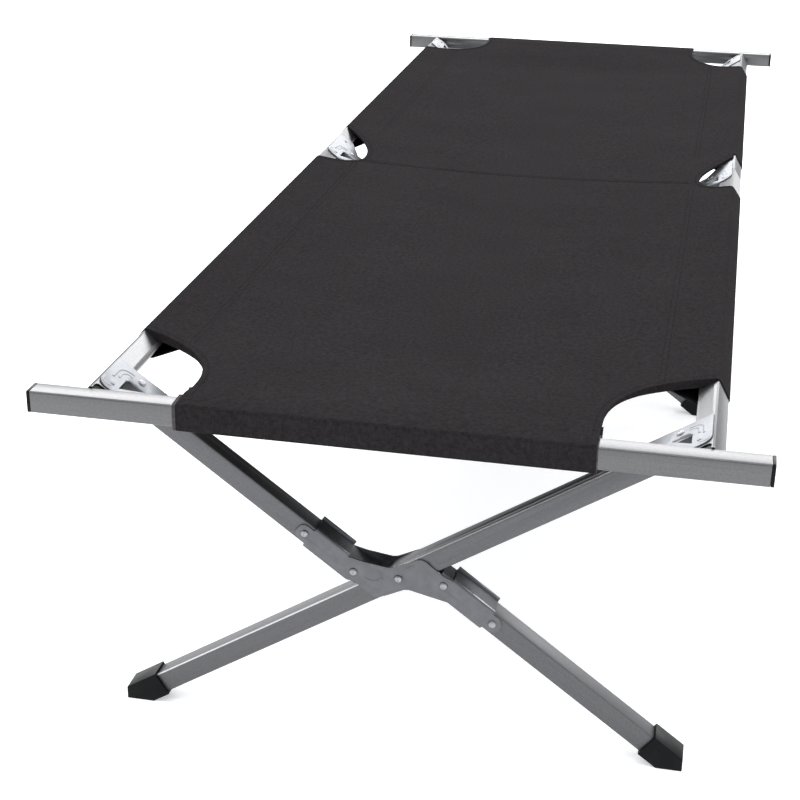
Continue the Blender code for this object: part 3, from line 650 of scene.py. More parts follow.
def rivet_model(half_grip):
    """Two heads on one shank, set about the middle of what they hold."""
    upper = rivet_head()
    upper.data.transform(Matrix.Translation((0, 0, half_grip)))
    lower = placed_copy(upper, "lower_head", Matrix.Rotation(math.pi, 4, "X"))
    shank = new_primitive(
        bpy.ops.mesh.primitive_cylinder_add, "shank",
        vertices=12, radius=RIVET_SHANK, depth=2 * half_grip)
    model = join_pieces(upper, [lower, shank])
    smooth_shaded(model, 50)
    set_material(model, RIVET)
    return model


def turned_to(place, z_axis, x_axis):
    """Matrix that stands a model's Z along one direction and its X along another."""
    turn = Matrix((x_axis, z_axis.cross(x_axis), z_axis)).transposed().to_4x4()
    return Matrix.Translation(place) @ turn


def set_rivets():
    leg_rivet = rivet_model(HALF_TUBE + RUN + SHEET + FIT)
    corner_grip = HALF_TUBE + (FIT + SHEET) / 2
    corner_rivet = rivet_model(corner_grip + FIT)
    for name in frame["nodes"]:
        if "rivet" not in name:
            continue
        if name.startswith("corner_rivet"):
            side = -1 if "left" in name else 1
            model, axes = corner_rivet, (OVER[side], UP[side])
        else:
            model, axes = leg_rivet, (Y_AXIS, X_AXIS)
        turn = turned_to(centre(name), *axes)
        stand_for(placed_copy(model, name + "_finished", turn), name)
    put_away(leg_rivet)
    put_away(corner_rivet)


# Pressed beads

BEAD_STEPS = 8
BEAD_FLAT = 0.35


def bead(start, heading, moves, radius, flat=BEAD_FLAT):
    """Half-round bead in the XY plane: a ring of section drawn along straights and turns."""
    ring = new_primitive(
        bpy.ops.mesh.primitive_circle_add, "bead", vertices=BEAD_STEPS, radius=radius,
        fill_type="NGON", location=(*start, 0), rotation=(0, QUARTER, heading))
    edit(ring)
    bpy.ops.mesh.select_all(action="SELECT")
    place = Vector((*start, 0))
    for kind, amount, bend in moves:
        ahead = Vector((math.cos(heading), math.sin(heading), 0))
        if kind == "straight":
            bpy.ops.mesh.extrude_region_move(TRANSFORM_OT_translate={"value": ahead * amount})
            place += ahead * amount
            continue
        hand = math.copysign(1, amount)
        middle = place + Vector((-ahead.y, ahead.x, 0)) * hand * bend
        bpy.ops.mesh.spin(steps=BEAD_STEPS, angle=-amount, center=middle, axis=(0, 0, 1))
        heading += amount
        place = middle + Matrix.Rotation(amount, 3, "Z") @ (place - middle)
    bpy.ops.mesh.select_all(action="SELECT")
    bpy.ops.mesh.normals_make_consistent(inside=False)
    leave_edit()
    ring.data.transform(Matrix.Diagonal((1, 1, flat, 1)))
    smooth_shaded(ring, 60)
    return ring


# Corner plates: X runs down the leg, Y to the bed's end, Z out of the plate

PLATE_RIDGE_EDGE = -HALF_TUBE + 0.0022
PLATE_LEG_EDGE = HALF_TUBE + RUN + SHEET
PLATE_NOSE = 0.0500
PLATE_WEB = 0.050
PLATE_LENGTH = 0.066
PLATE_FLANGE = 0.0095
PLATE_EDGE = 0.0004
NOSE_ROUND = 0.013
INNER_ROUND = 0.006
TIP_ROUND = 0.003
NEAR = 0.00002
FLANGE_SPAN = (0.041, 0.061)
FAR_WEB = 0.034
WINDOW_CORNER = (HALF_TUBE + 0.0002, HALF_TUBE - 0.0008)
WINDOW_SIZE = (0.0240, 0.0270)
WINDOW_ROUND = 0.0042
WINDOW_TIP = 0.015
WINDOW_TIP_ROUND = 0.0012
CUTTER_DEPTH = 0.01
STUD_PLACES = ((0.0042, 0.0372), (0.0042, -0.0300))
STUD_SHARE = (0.55, 0.55, 0.6)


def is_near(value, target):
    return abs(value - target) < NEAR


def plate_sheet(is_middle):
    """Bare sheet of a corner plate: a strip on the rail, a strip on the leg, and the web."""
    low = -PLATE_NOSE if is_middle else -PLATE_LEG_EDGE
    middle = ((PLATE_RIDGE_EDGE + HALF_TUBE) / 2, (low + PLATE_NOSE) / 2, 0)
    sheet = new_primitive(bpy.ops.mesh.primitive_plane_add, "corner_plate", size=1)
    sheet.data.transform(
        Matrix.Translation(middle)
        @ Matrix.Diagonal((HALF_TUBE - PLATE_RIDGE_EDGE, PLATE_NOSE - low, 1, 1)))
    edit(sheet)
    for level in (PLATE_LEG_EDGE, -PLATE_LEG_EDGE):
        bpy.ops.mesh.select_all(action="SELECT")
        bpy.ops.mesh.bisect(plane_co=(0, level, 0), plane_no=(0, 1, 0))
    for reach in (FAR_WEB, FLANGE_SPAN[0], PLATE_WEB, FLANGE_SPAN[1], PLATE_LENGTH):
        front = max(vert.co.x for vert in bmesh.from_edit_mesh(sheet.data).verts)
        pick("edges", lambda edge: edge.is_boundary and all(
            is_near(vert.co.x, front) and abs(vert.co.y) < PLATE_LEG_EDGE + NEAR
            for vert in edge.verts))
        bpy.ops.mesh.extrude_region_move(
            TRANSFORM_OT_translate={"value": (reach - front, 0, 0)})
    web_sides = ((1, PLATE_WEB), (-1, FAR_WEB)) if is_middle else ((1, PLATE_WEB),)
    for hand, reach in web_sides:
        wanted = ((HALF_TUBE, hand * PLATE_NOSE), (HALF_TUBE, hand * PLATE_LEG_EDGE),
                  (reach, hand * PLATE_LEG_EDGE))
        pick("verts", lambda vert: any(
            is_near(vert.co.x, x) and is_near(vert.co.y, y) for x, y in wanted)
            or (is_near(vert.co.y, hand * PLATE_LEG_EDGE) and HALF_TUBE < vert.co.x < reach))
        bpy.ops.mesh.edge_face_add()
    round_plate_corners(hand_sides=(1, -1) if is_middle else (1,))
    return sheet


def round_plate_corners(hand_sides):
    for hand in hand_sides:
        for x, offset, steps in ((PLATE_RIDGE_EDGE, NOSE_ROUND, 6), (HALF_TUBE, INNER_ROUND, 4)):
            pick("verts", lambda vert: is_near(vert.co.x, x)
                 and is_near(vert.co.y, hand * PLATE_NOSE))
            bpy.ops.mesh.bevel(offset=offset, segments=steps, affect="VERTICES")
    pick("verts", lambda vert: is_near(vert.co.x, PLATE_LENGTH) and vert.is_boundary)
    bpy.ops.mesh.bevel(offset=TIP_ROUND, segments=3, affect="VERTICES")


def bend_flanges():
    """Flanges turned down along the leg."""
    pick("edges", lambda edge: edge.is_boundary and all(
        is_near(abs(vert.co.y), PLATE_LEG_EDGE)
        and FLANGE_SPAN[0] - NEAR < vert.co.x < FLANGE_SPAN[1] + NEAR
        for vert in edge.verts))
    bpy.ops.mesh.extrude_region_move(
        TRANSFORM_OT_translate={"value": (0, 0, -PLATE_FLANGE)})


def window_cutter():
    """Three-sided block with rounded corners that cuts a plate's window."""
    block = new_primitive(bpy.ops.mesh.primitive_cube_add, "window_cutter", size=1)
    low = Vector((*WINDOW_CORNER, -CUTTER_DEPTH / 2))
    block.data.transform(
        Matrix.Translation(low) @ Matrix.Diagonal((*WINDOW_SIZE, CUTTER_DEPTH, 1))
        @ Matrix.Translation((0.5, 0.5, 0.5)))
    edit(block)
    bpy.ops.mesh.select_all(action="SELECT")
    slope = Vector((WINDOW_SIZE[1], WINDOW_SIZE[0], 0)).normalized()
    bpy.ops.mesh.bisect(
        plane_co=(WINDOW_CORNER[0] + WINDOW_SIZE[0], WINDOW_CORNER[1], 0), plane_no=slope,
        use_fill=True, clear_outer=True)
    pick("edges", lambda edge: is_upright(edge) and all(
        is_near(vert.co.x, WINDOW_CORNER[0]) and is_near(vert.co.y, WINDOW_CORNER[1])
        for vert in edge.verts))
    bpy.ops.mesh.bevel(offset=WINDOW_ROUND, segments=5, affect="EDGES")
    pick("edges", lambda edge: is_upright(edge) and (
        edge.verts[0].co.x > WINDOW_CORNER[0] + WINDOW_TIP
        or edge.verts[0].co.y > WINDOW_CORNER[1] + WINDOW_TIP))
    bpy.ops.mesh.bevel(offset=WINDOW_TIP_ROUND, segments=2, affect="EDGES")
    leave_edit()
    return block


def is_upright(edge):
    return abs(edge.verts[0].co.z - edge.verts[1].co.z) > 0.9 * CUTTER_DEPTH


def plate_model(is_middle):
    """Pressed corner plate with its window, rolled lips, stiffening beads and studs."""
    plate = plate_sheet(is_middle)
    bend_flanges()
    leave_edit()
    thickened(plate, SHEET)
    cutter = window_cutter()
    window = plate.modifiers.new("window", "BOOLEAN")
    window.operation = "DIFFERENCE"
    window.solver = "EXACT"
    window.object = cutter
    apply_modifiers(plate)
    put_away(cutter)
    bevelled(plate, PLATE_EDGE, 35)
    beads = [
        # Two stiffening beads: along the rail, round the corner and down the leg
        bead((-0.0010, 0.0240), -QUARTER, (
            ("straight", 0.0140, 0), ("turn", QUARTER, 0.0130), ("straight", 0.0040, 0)), 0.0016),
        bead((0.0045, 0.0190), -QUARTER, (
            ("straight", 0.0080, 0), ("turn", QUARTER, 0.0085), ("straight", 0.0030, 0)), 0.0014),
        # Lip along the nose, which ends in a dimple
        bead((-0.0072, 0.0340), QUARTER, (
            ("straight", 0.0045, 0), ("turn", -QUARTER * 1.9, 0.0058)), 0.0012),
        # Lip rolled over the window's leg side
        bead((WINDOW_CORNER[0] + 0.0005, WINDOW_CORNER[1] + 0.0052), -QUARTER, (
            ("turn", QUARTER * 0.95, 0.0050), ("straight", 0.0085, 0)), 0.0011, 1.0),
    ]
    for piece in beads:
        piece.data.transform(Matrix.Translation((0, 0, SHEET)))
    for x, y in STUD_PLACES:
        if y > 0 or is_middle:
            stud = rivet_head()
            stud.data.transform(
                Matrix.Translation((x, y, SHEET)) @ Matrix.Diagonal((*STUD_SHARE, 1)))
            smooth_shaded(stud, 60)
            beads.append(stud)
    model = join_pieces(plate, beads)
    set_material(model, PLATE_STEEL)
    return model


def set_corner_plates():
    end_plate = plate_model(False)
    middle_plate = plate_model(True)
    for side, side_word in SIDE_WORDS.items():
        for end in ENDS:
            way = 1 if end == "far" else -1
            origin = RAIL[side] + OVER[side] * (HALF_TUBE + FIT) + Y_AXIS * LEG_Y[end]
            turn = Matrix((-UP[side], Y_AXIS * way, OVER[side])).transposed().to_4x4()
            model = middle_plate if end == "middle" else end_plate
            node = f"corner_plate_{side_word}_{end}"
            piece = placed_copy(model, node + "_pressed", Matrix.Translation(origin) @ turn)
            stand_for(piece, node)
    put_away(end_plate)
    put_away(middle_plate)


# Centre brackets: two shallow arcs are pressed beside the pivot. Each has the place of its middle
# from the pivot, its bend, and in degrees where it starts and how far it sweeps.

BRACKET_ARCS = (
    {"middle": (-0.0282, 0.0073), "bend": 0.0135, "start": -133, "sweep": 94},
    {"middle": (0.0176, 0.0052), "bend": 0.0115, "start": 230, "sweep": -131},
)
ARC_RADIUS = 0.0013
BRACKET_FACE = HALF_TUBE + RUN + SHEET
BRACKET_EDGE = 0.0005
RIM_WIDTH = 1.2 * SHEET
RIM_TURN = 0.6


def bracket_arcs():
    """The pressed arcs about the pivot, in the XY plane."""
    arcs = []
    for shape in BRACKET_ARCS:
        start = math.radians(shape["start"])
        sweep = math.radians(shape["sweep"])
        along, above = shape["middle"]
        place = (along + shape["bend"] * math.cos(start), above + shape["bend"] * math.sin(start))
        heading = start + math.copysign(QUARTER, sweep)
        arcs.append(bead(place, heading, [("turn", sweep, shape["bend"])], ARC_RADIUS))
    model = join_pieces(arcs[0], arcs[1:])
    set_material(model, STEEL)
    return model


def flatten_front(bracket, level):
    """Presses what stands out of the bracket's front face back into it."""
    edit(bracket)
    pick("verts", lambda vert: vert.co.y < level - FIT / 10)
    bpy.ops.transform.resize(value=(1, 0, 1), center_override=(0, level, 0))
    bpy.ops.mesh.select_all(action="SELECT")
    bpy.ops.mesh.remove_doubles(threshold=MERGE)
    bpy.ops.mesh.dissolve_degenerate(threshold=MERGE)
    bpy.ops.mesh.dissolve_limited(angle_limit=FLAT_ANGLE)
    leave_edit()


def paint_rim_highlights(bracket):
    """Painted highlight on the cut edges of the sheet that face up: they take the pale metal of
    slot 1.
    """
    for face in bracket.data.polygons:
        depths = [bracket.data.vertices[index].co.y for index in face.vertices]
        if face.normal.z > RIM_TURN and max(depths) - min(depths) < RIM_WIDTH:
            face.material_index = 1


def set_centre_brackets():
    """Brackets with rounded edges, a painted highlight on their upper edges and rims, and pressed
    arcs beside the pivot.
    """
    arcs = bracket_arcs()
    for end in ENDS:
        node = f"centre_bracket_{end}"
        front = LEG_Y[end] - BRACKET_FACE
        bracket = merged_copy(node, node + "_pressed")
        flatten_front(bracket, front)
        set_material(bracket, STEEL)
        # Painted highlight on the bevels and on the rims that face up
        bracket.data.materials.append(PAINTED_HIGHLIGHT_METAL)
        bevelled(bracket, BRACKET_EDGE, 35, edge_slot=1)
        keep_highlights_on_upper_edges(bracket)
        paint_rim_highlights(bracket)
        turn = turned_to(Vector((PIVOT.x, front, PIVOT.z)), -Y_AXIS, X_AXIS)
        join_pieces(bracket, [placed_copy(arcs, "arcs", turn)])
        stand_for(bracket, node)
    put_away(arcs)


# Shapes of the bed cloth

def smooth_step(value):
    value = min(1.0, max(0.0, value))
    return value * value * (3 - 2 * value)


def corner_inset(cut, from_end):
    """How far a corner cut-out comes in from the ridge, at a distance from the bar's face."""
    if from_end >= cut["reach"]:
        return 0.0
    share = max(0.0, from_end - CUT_STRAIGHT) / (cut["reach"] - CUT_STRAIGHT)
    return cut["depth"] * (1 - share ** 2) ** cut["square"]


def side_inset(cut, y):
    """How far a middle cut-out comes in from the ridge."""
    word = "far" if y > cut["deepest"] else "near"
    share = abs(y - cut["deepest"]) / cut[word]
    if share >= 1:
        return 0.0
    return cut["depth"] * (1 - share ** 2) ** cut[word + "_square"]


def cut_inset(side, y):
    """How far the cloth's edge lies inside the ridge on one side."""
    near = corner_inset(CORNER_CUTS[side, "near"], y + BAR_OUTER)
    far = corner_inset(CORNER_CUTS[side, "far"], BAR_OUTER - y)
    return max(near, far, side_inset(SIDE_CUTS[side], y))


def edge_x(side, y):
    """Place of the cloth's edge, which stops at the fold round the rail where it is whole."""
    return RIDGE[side].x - side * max(cut_inset(side, y), FOLD_RADIUS)


def sleeve_runs(side):
    """Stretches along the bed where the cloth goes round the rail."""
    cut = SIDE_CUTS[side]
    return (
        (CORNER_CUTS[side, "near"]["reach"] - BAR_OUTER, cut["deepest"] - cut["near"]),
        (cut["deepest"] + cut["far"], BAR_OUTER - CORNER_CUTS[side, "far"]["reach"]),
    )


def cloth_rows():
    """Stations along the bed, close together where the cut-outs curve."""
    end = BAR_OUTER - TUCK
    kept = [-end, end]
    for side in (1, -1):
        for run in sleeve_runs(side):
            kept += run
    extra = []
    for side in (1, -1):
        cut = SIDE_CUTS[side]
        for step in range(1, CUT_STEPS):
            bend = math.sin(QUARTER * step / CUT_STEPS)
            extra.append(cut["deepest"] - cut["near"] * bend)
            extra.append(cut["deepest"] + cut["far"] * bend)
            for word, way in (("near", -1), ("far", 1)):
                reach = CORNER_CUTS[side, word]["reach"] - CUT_STRAIGHT
                extra.append(way * (BAR_OUTER - CUT_STRAIGHT - reach * bend))
    extra += [-end + ROW_STEP * step for step in range(1, int(2 * end / ROW_STEP) + 1)]
    for y in extra:
        if all(abs(y - other) > ROW_GAP for other in kept):
            kept.append(y)
    return sorted(kept)


def cloth_height(x, y):
    """Height of the cloth's top: lowest along the middle, steeper over the rail sleeves."""
    side = 1 if x > 0 else -1
    ridge = abs(RIDGE[side].x)
    inside = max(0.0, ridge - abs(x))
    over_sleeve = min(1.0, inside / SLEEVE_SEAM)
    drop = SLEEVE_DROP * over_sleeve * (1 + SLEEVE_STEEP * (1 - over_sleeve))
    past_seam = min(1.0, max(0.0, inside - SLEEVE_SEAM) / (ridge - SLEEVE_SEAM))
    drop += (CLOTH_SAG - SLEEVE_DROP) * (1 - (1 - past_seam) ** 2)
    from_end = BAR_OUTER - abs(y)
    run = smooth_step((from_end - TUBE) / SAG_RUN)
    level = BAR_TOP + (RIDGE_LEVEL - BAR_TOP) * smooth_step((from_end - TUBE) / LEVEL_RUN)
    seam_dip = SEAM_DIP * math.exp(-((y - SEAM_Y) / SEAM_DIP_WIDTH) ** 2)
    return level - drop * run - seam_dip


def cloth_top(x, y, rise=0.0):
    return Vector((x, y, cloth_height(x, y) + rise))


def round_corner(before, corner, after, steps=4):
    """Points of a soft fold at a corner, seen along the fold."""
    start = corner + (before - corner).normalized() * FOLD_RADIUS
    end = corner + (after - corner).normalized() * FOLD_RADIUS
    points = []
    for step in range(steps + 1):
        share = step / steps
        points.append(
            start * (1 - share) ** 2 + corner * (2 * share * (1 - share)) + end * share ** 2)
    return points


def spaced(start, stop, count):
    return [start + (stop - start) * step / count for step in range(count)]


def strip(cage, first, second):
    """Faces between two rows of points."""
    for index in range(len(first) - 1):
        cage.faces.new((first[index], first[index + 1], second[index + 1], second[index]))


def surface(rows):
    """Bare surface through rows of points."""
    cage = bmesh.new()
    previous = None
    for row in rows:
        line = [cage.verts.new(point) for point in row]
        if previous:
            strip(cage, previous, line)
        previous = line
    return cage


def object_of(name, cage):
    """Piece from a mesh that was built point by point."""
    mesh = bpy.data.meshes.new(name)
    cage.to_mesh(mesh)
    cage.free()
    return new_object(name, mesh)


def sheet_object(name, cage, wall, material):
    """Piece from a bare surface that faces up at its first face, with its wall outside it."""
    bmesh.ops.recalc_face_normals(cage, faces=cage.faces)
    cage.faces.ensure_lookup_table()
    if cage.faces[0].normal.z < 0:
        bmesh.ops.reverse_faces(cage, faces=cage.faces)
    piece = object_of(name, cage)
    thickened(piece, wall)
    smooth_shaded(piece, 50)
    set_material(piece, material)
    return piece


def follow_fold(piece):
    """Bakes a cloth piece's placement into its mesh."""
    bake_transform(piece)


# Bed cloth and its sleeves

def sleeve_points(side):
    """Way of the sleeve round a rail, each point with its share of the end flare."""
    inner = Vector((RIDGE[side].x - side * SLEEVE_SEAM, 0, 0))
    sheet_side = Vector((inner.x, 0, RIDGE[side].z))
    ridge = RIDGE[side]
    outer = on_rail(side, REACH, -REACH)
    bottom = on_rail(side, -REACH, -REACH)
    seam = Vector((inner.x, 0, cloth_height(inner.x, PLAIN_Y) - 2 * CLOTH - FIT))
    points = [(place, 0.0) for place in round_corner(sheet_side, ridge, outer)[1:]]
    points += [(ridge.lerp(outer, 0.5), 0.5)]
    points += [(place, 1.0) for place in round_corner(ridge, outer, bottom)]
    points += [(place, UNDER_FLARE) for place in round_corner(outer, bottom, seam)]
    points += [
        (bottom.lerp(seam, share), UNDER_FLARE * (1 - share)) for share in (0.25, 0.5, 0.75, 1.0)]
    return points


def flare_at(side, y, run):
    """Shift of a sleeve's point along the rail: out at both ends, none in the middle."""
    near_word, far_word = ("corner", "middle") if y < SIDE_CUTS[side]["deepest"] else (
        "middle", "corner")
    near = 1 - smooth_step((y - run[0]) / FLARE_RUN)
    far = 1 - smooth_step((run[1] - y) / FLARE_RUN)
    return SLEEVE_FLARE[side][far_word] * far - SLEEVE_FLARE[side][near_word] * near


def bed_cloth():
    """Sheet between the rails, with a sleeve round each half of each rail."""
    rows = cloth_rows()
    columns = 60
    cage = bmesh.new()
    grid = []
    for y in rows:
        left = edge_x(-1, y)
        right = edge_x(1, y)
        line = []
        for step in range(columns + 1):
            share = 0.5 - 0.5 * math.cos(math.pi * step / columns)
            share = 0.5 * share + 0.5 * step / columns
            line.append(cage.verts.new(cloth_top(left + (right - left) * share, y, -CLOTH)))
        grid.append(line)
    for first, second in zip(grid, grid[1:]):
        strip(cage, first, second)
    for side, column in ((-1, 0), (1, columns)):
        for run in sleeve_runs(side):
            held = [
                (line[column], y) for line, y in zip(grid, rows)
                if run[0] - ROW_GAP / 2 < y < run[1] + ROW_GAP / 2
            ]
            previous = [vert for vert, y in held]
            for place, share in sleeve_points(side):
                fresh = []
                for vert, y in held:
                    shift = flare_at(side, y, run) * share
                    fresh.append(cage.verts.new(place + Y_AXIS * (y + shift)))
                strip(cage, previous, fresh)
                previous = fresh
    return sheet_object("bed_cloth", cage, CLOTH, FABRIC)


# Hems round the end bars

def hem_edge(side, y):
    """Edge of a hem, which spreads a little round the bar, and most at the near left."""
    from_end = BAR_OUTER - abs(y)
    spread = HEM_SPREAD * (1 - smooth_step((from_end - HEM_SPREAD_FROM) / HEM_SPREAD_RUN))
    return edge_x(side, y) + side * (spread if side < 0 and y < 0 else spread / 3)


def hem_path(end):
    """Way of a hem in the bed's long section: the rows over the sheet, and those round the bar."""
    way = -1 if end == "near" else 1
    front = way * (BAR_OUTER + FIT)
    back = way * (BAR_INNER - FIT)
    top = BAR_TOP - CLOTH + 2 * FIT
    low = BAR_Z - REACH - HEM_SLACK
    over = [
        Vector((0, way * (BAR_OUTER - HEM_TOP + (HEM_TOP - TUBE) * step / HEM_ROWS), 0))
        for step in range(HEM_ROWS + 1)
    ]
    top_front = Vector((0, front, top))
    low_front = Vector((0, front, low))
    low_back = Vector((0, back, low))
    seam = Vector((0, way * (BAR_INNER - HEM_SEAM), BAR_TOP - 3 * CLOTH))
    middle = (top_front + low_front) / 2 + Vector((0, way * HEM_BULGE, 0))
    wrap = round_corner(Vector((0, back, top)), top_front, middle)
    wrap += [top_front.lerp(middle, 0.6), middle, low_front.lerp(middle, 0.6)]
    wrap += round_corner(middle, low_front, low_back)
    wrap += round_corner(low_front, low_back, seam)
    wrap += [low_back.lerp(seam, share) for share in (0.3, 0.6, 1.0)]
    return over, wrap


def hem_strip(name, end, edges, columns, first, wall, material):
    """Cloth laid along a hem's way from its row `first` on, between two edges."""
    way = -1 if end == "near" else 1
    over, wrap = hem_path(end)
    rows = []
    for index, place in enumerate(over + wrap):
        is_over = index < len(over)
        left, right = edges(place.y if is_over else way * max(abs(place.y), BAR_INNER))
        row = []
        for step in range(columns + 1):
            x = left + (right - left) * step / columns
            if is_over:
                sunk = (HEM_CLOTH + FIT) * (1 - smooth_step(index / HEM_RISE_ROWS))
                row.append(cloth_top(x, place.y, FIT / 2 - sunk))
            else:
                row.append(Vector((x, place.y, place.z)))
        rows.append(row)
    return sheet_object(name, surface(rows[first:]), wall, material)


def end_hem(end):
    """Hem sewn round an end bar: over the sheet, round the bar, and back under the sheet."""
    hem = hem_strip(
        f"{end}_hem", end, lambda y: (hem_edge(-1, y), hem_edge(1, y)),
        HEM_COLUMNS, 0, HEM_CLOTH, FABRIC)
    tapes = []
    for side, word in SIDE_WORDS.items():
        def tape_edges(y):
            edge = hem_edge(side, y)
            return sorted((edge - side * HEM_CLOTH, edge + side * HEM_END_TAPE[side]))
        tapes.append(hem_strip(
            f"{end}_hem_end_tape_{word}", end, tape_edges,
            TAPE_COLUMNS, HEM_ROWS, HEM_TAPE_WALL, END_TAPE))
    for piece in (hem, *tapes):
        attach(piece, f"{end}_bar")
    return hem, tapes


# Bands and sewing

def cut_path(side, low, high):
    """Points along the cloth's edge between two stations, and the way into the cloth."""
    stations = [y for y in cloth_rows() if low - ROW_GAP / 2 < y < high + ROW_GAP / 2]
    points = [Vector((edge_x(side, y), y)) for y in stations]
    inward = []
    padded = [points[0], *points, points[-1]]
    for before, after in zip(padded, padded[2:]):
        along = (after - before).normalized()
        inward.append(Vector((-along.y, along.x)) * side)
    return points, inward


def cut_spans(side):
    """Stations between which each cut-out of one side lies, by the name of its place."""
    runs = sleeve_runs(side)
    return {
        "near": (-(BAR_OUTER - TUCK), runs[0][0]),
        "middle": (runs[0][1], runs[1][0]),
        "far": (runs[1][1], BAR_OUTER - TUCK),
    }


# Section of a band: way into the cloth, lift, and how far it is turned down, each as a share
BAND_SECTION = (
    (-0.08, -1.0, 1.0), (-0.10, -0.5, 0.5), (-0.10, 0.0, 0.12), (-0.04, 0.8, 0.0),
    (0.12, 1.0, 0.0), (0.50, 1.0, 0.0), (0.84, 0.8, 0.0), (1.0, 0.0, 0.0),
)


def turn_down(side, end, y):
    """How far a band hangs down at the cloth's edge: most near the rail, least at the hem."""
    inset = cut_inset(side, y)
    share = min(1.0, inset / CORNER_CUTS[side, "near"]["depth"])
    return BAND_TURN_DOWN[end] * (1 - share ** 3) + 2 * BAND_RISE


def edge_band(side, end):
    """Folded edge of a cut-out: a soft raised band that turns down over the cloth's edge."""
    points, inward = cut_path(side, *cut_spans(side)[end])
    rows = []
    for distance, lift, turned in BAND_SECTION:
        row = []
        for point, way in zip(points, inward):
            place = point + way * distance * BAND_WIDTH
            rise = lift * BAND_RISE - FIT / 2 - turned * turn_down(side, end, point.y)
            row.append(cloth_top(place.x, place.y, rise))
        rows.append(row)
    return sheet_object(f"{end}_cut_band_{SIDE_WORDS[side]}", surface(rows), CLOTH / 2, TAPE)


def stitch_run(cage, path):
    """Stitches laid along a path of points on the cloth."""
    travelled = 0.0
    for first, second in zip(path, path[1:]):
        length = (second - first).length
        along = (second - first).normalized()
        while travelled < length:
            middle = first + along * travelled
            lay_stitch(cage, middle, along)
            travelled += STITCH_PITCH
        travelled -= length


def lay_stitch(cage, middle, along):
    """One stitch: a short thread, thickest in its middle, that dips into the cloth."""
    across = along.cross(Vector((0, 0, 1))).normalized()
    up = across.cross(along)
    rings = []
    for place, width, rise in STITCH_RINGS:
        centre_point = middle + along * STITCH_LENGTH * place + up * THREAD * rise
        ring = []
        for turn in range(STITCH_SIDES):
            angle = 2 * math.pi * turn / STITCH_SIDES
            ring.append(cage.verts.new(
                centre_point + across * math.cos(angle) * THREAD / 2 * width
                + up * math.sin(angle) * THREAD / 2 * width))
        rings.append(ring)
    for first, second in zip(rings, rings[1:]):
        strip(cage, [*first, first[0]], [*second, second[0]])
    cage.faces.new(rings[0])
    cage.faces.new(rings[-1])


def thread_object(name, cage):
    bmesh.ops.recalc_face_normals(cage, faces=cage.faces)
    piece = object_of(name, cage)
    smooth_shaded(piece, 60)
    set_material(piece, THREAD_YARN)
    return piece


def band_stitches():
    """Sewing along the bands of all the cut-outs."""
    cage = bmesh.new()
    for side in (1, -1):
        for low, high in cut_spans(side).values():
            points, inward = cut_path(side, low, high)
            path = []
            for point, way in zip(points, inward):
                place = point + way * SEWN_AT * BAND_WIDTH
                path.append(cloth_top(place.x, place.y, BAND_RISE * SEWN_RISE + CLOTH / 2))
            stitch_run(cage, path)
    return thread_object("cut_band_sewing", cage)


def seam_stitches():
    """Sewing of the rail sleeves and the cross seam, two rows each."""
    cage = bmesh.new()
    for side in (1, -1):
        for offset in SLEEVE_SEWING:
            x = RIDGE[side].x - side * (SLEEVE_SEAM - offset)
            for low, high in sleeve_runs(side):
                ends = (low - SEWN_PAST, high + SEWN_PAST)
                stitch_run(cage, [
                    cloth_top(x, y) for y in spaced(*ends, SEWN_STEPS["sleeve"])])
    for offset in SEAM_SEWING:
        y = SEAM_Y + offset
        ends = (edge_x(-1, y) + BAND_WIDTH, edge_x(1, y) - BAND_WIDTH)
        stitch_run(cage, [cloth_top(x, y) for x in spaced(*ends, SEWN_STEPS["seam"])])
    return thread_object("seam_sewing", cage)


def cross_seam():
    """Narrow felled seam across the bed where its two panels meet."""
    left = edge_x(-1, SEAM_Y) + BAND_WIDTH / 2
    right = edge_x(1, SEAM_Y) - BAND_WIDTH / 2
    rows = [
        [cloth_top(x, SEAM_Y + offset, lift * BAND_RISE - FIT) for x in spaced(left, right, 80)]
        for offset, lift in SEAM_SECTION]
    return sheet_object("cross_seam", surface(rows), CLOTH / 3, FABRIC)


def make_bed_cloth():
    cloth = bed_cloth()
    extras = [edge_band(side, end) for side in (1, -1) for end in ENDS]
    extras += [cross_seam(), band_stitches(), seam_stitches()]
    for piece in [cloth, *extras]:
        follow_fold(piece)
    hems = {end: end_hem(end) for end in ("near", "far")}
    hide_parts("bed_fabric")
    places = [place for place, share in sleeve_points(1)]


# Stage, light and camera

def stage_floor():
    """Plain pale floor, far larger than the view."""
    floor = new_primitive(bpy.ops.mesh.primitive_plane_add, "studio_floor", size=60)
    material, shader, place = new_material("pale_studio_floor")
    cloud = noise(material, 0.6, 2.0, 0.5, place)
    set_colour(material, shader, cloud, "Fac", [(0.3, "f4f4f5"), (0.7, "f7f7f8")])
    shader.inputs["Roughness"].default_value = 0.9
    shader.inputs["Specular IOR Level"].default_value = 0.1
    # White acrylic lit from below, as under a product that is photographed without its shadow
    shader.inputs["Emission Color"].default_value = srgb("ffffff")
    shader.inputs["Emission Strength"].default_value = 0.35
    floor.data.materials.append(material)


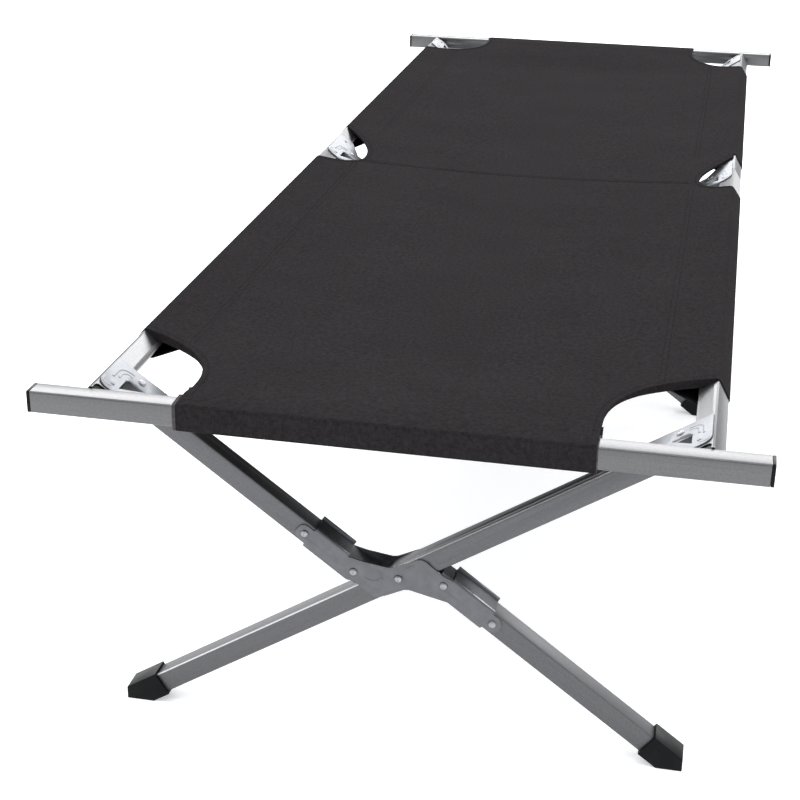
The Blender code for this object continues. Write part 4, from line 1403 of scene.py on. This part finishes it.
def soft_box(name, place, aim, width, height, power):
    light = bpy.data.lights.new(name, "AREA")
    light.shape = "RECTANGLE"
    light.size = width
    light.size_y = height
    light.energy = power
    holder = new_object(name, light)
    holder.location = place
    holder.rotation_euler = (Vector(aim) - Vector(place)).to_track_quat("-Z", "Y").to_euler()


def studio_light():
    """Even tent light: soft boxes over, beside and far behind the cot, and a pale surround."""
    world = bpy.data.worlds.new("studio")
    bpy.context.scene.world = world
    world.use_nodes = True
    background = world.node_tree.nodes["Background"]
    background.inputs["Color"].default_value = (0.96, 0.98, 1.0, 1)
    background.inputs["Strength"].default_value = 0.80
    soft_box("overhead_box", (0, 0.3, 4.2), (0, 0.3, 0), 5.0, 6.0, 50)
    soft_box("left_box", (-3.4, 0, 2.6), (0, 0, 0.1), 4.0, 2.4, 35)
    soft_box("right_box", (3.4, 0, 2.6), (0, 0, 0.1), 4.0, 2.4, 35)
    soft_box("back_box", (-1.0, 7.5, 4.5), (0, 0, 1.4), 16.0, 4.6, 1200)
    soft_box("edge_strip", (-0.6, -2.4, 4.0), (-0.6, -1.0, 0.4), 9.0, 0.3, 80)


def photo_camera():
    """Camera at the photograph's place, turned by its yaw, pitch and roll."""
    level = math.cos(CAMERA_PITCH)
    ahead = Vector((
        math.sin(CAMERA_YAW) * level, math.cos(CAMERA_YAW) * level, -math.sin(CAMERA_PITCH)))
    right = Vector((math.cos(CAMERA_YAW), -math.sin(CAMERA_YAW), 0))
    up = right.cross(ahead)
    rolled_right = right * math.cos(CAMERA_ROLL) + up * math.sin(CAMERA_ROLL)
    rolled_up = up * math.cos(CAMERA_ROLL) - right * math.sin(CAMERA_ROLL)
    turn = Matrix((rolled_right, rolled_up, -ahead)).transposed().to_4x4()
    data = bpy.data.cameras.new("photo_camera")
    data.lens = CAMERA_LENS
    data.sensor_width = SENSOR
    data.clip_end = 100
    camera = new_object("photo_camera", data)
    camera.matrix_world = Matrix.Translation(CAMERA_PLACE) @ turn
    bpy.context.scene.camera = camera


photo_camera()
stage_floor()
studio_light()
bpy.context.scene.view_settings.view_transform = "Standard"
finish_frame()
soft_edged_pieces()
set_rivets()
set_corner_plates()
set_centre_brackets()
make_bed_cloth()
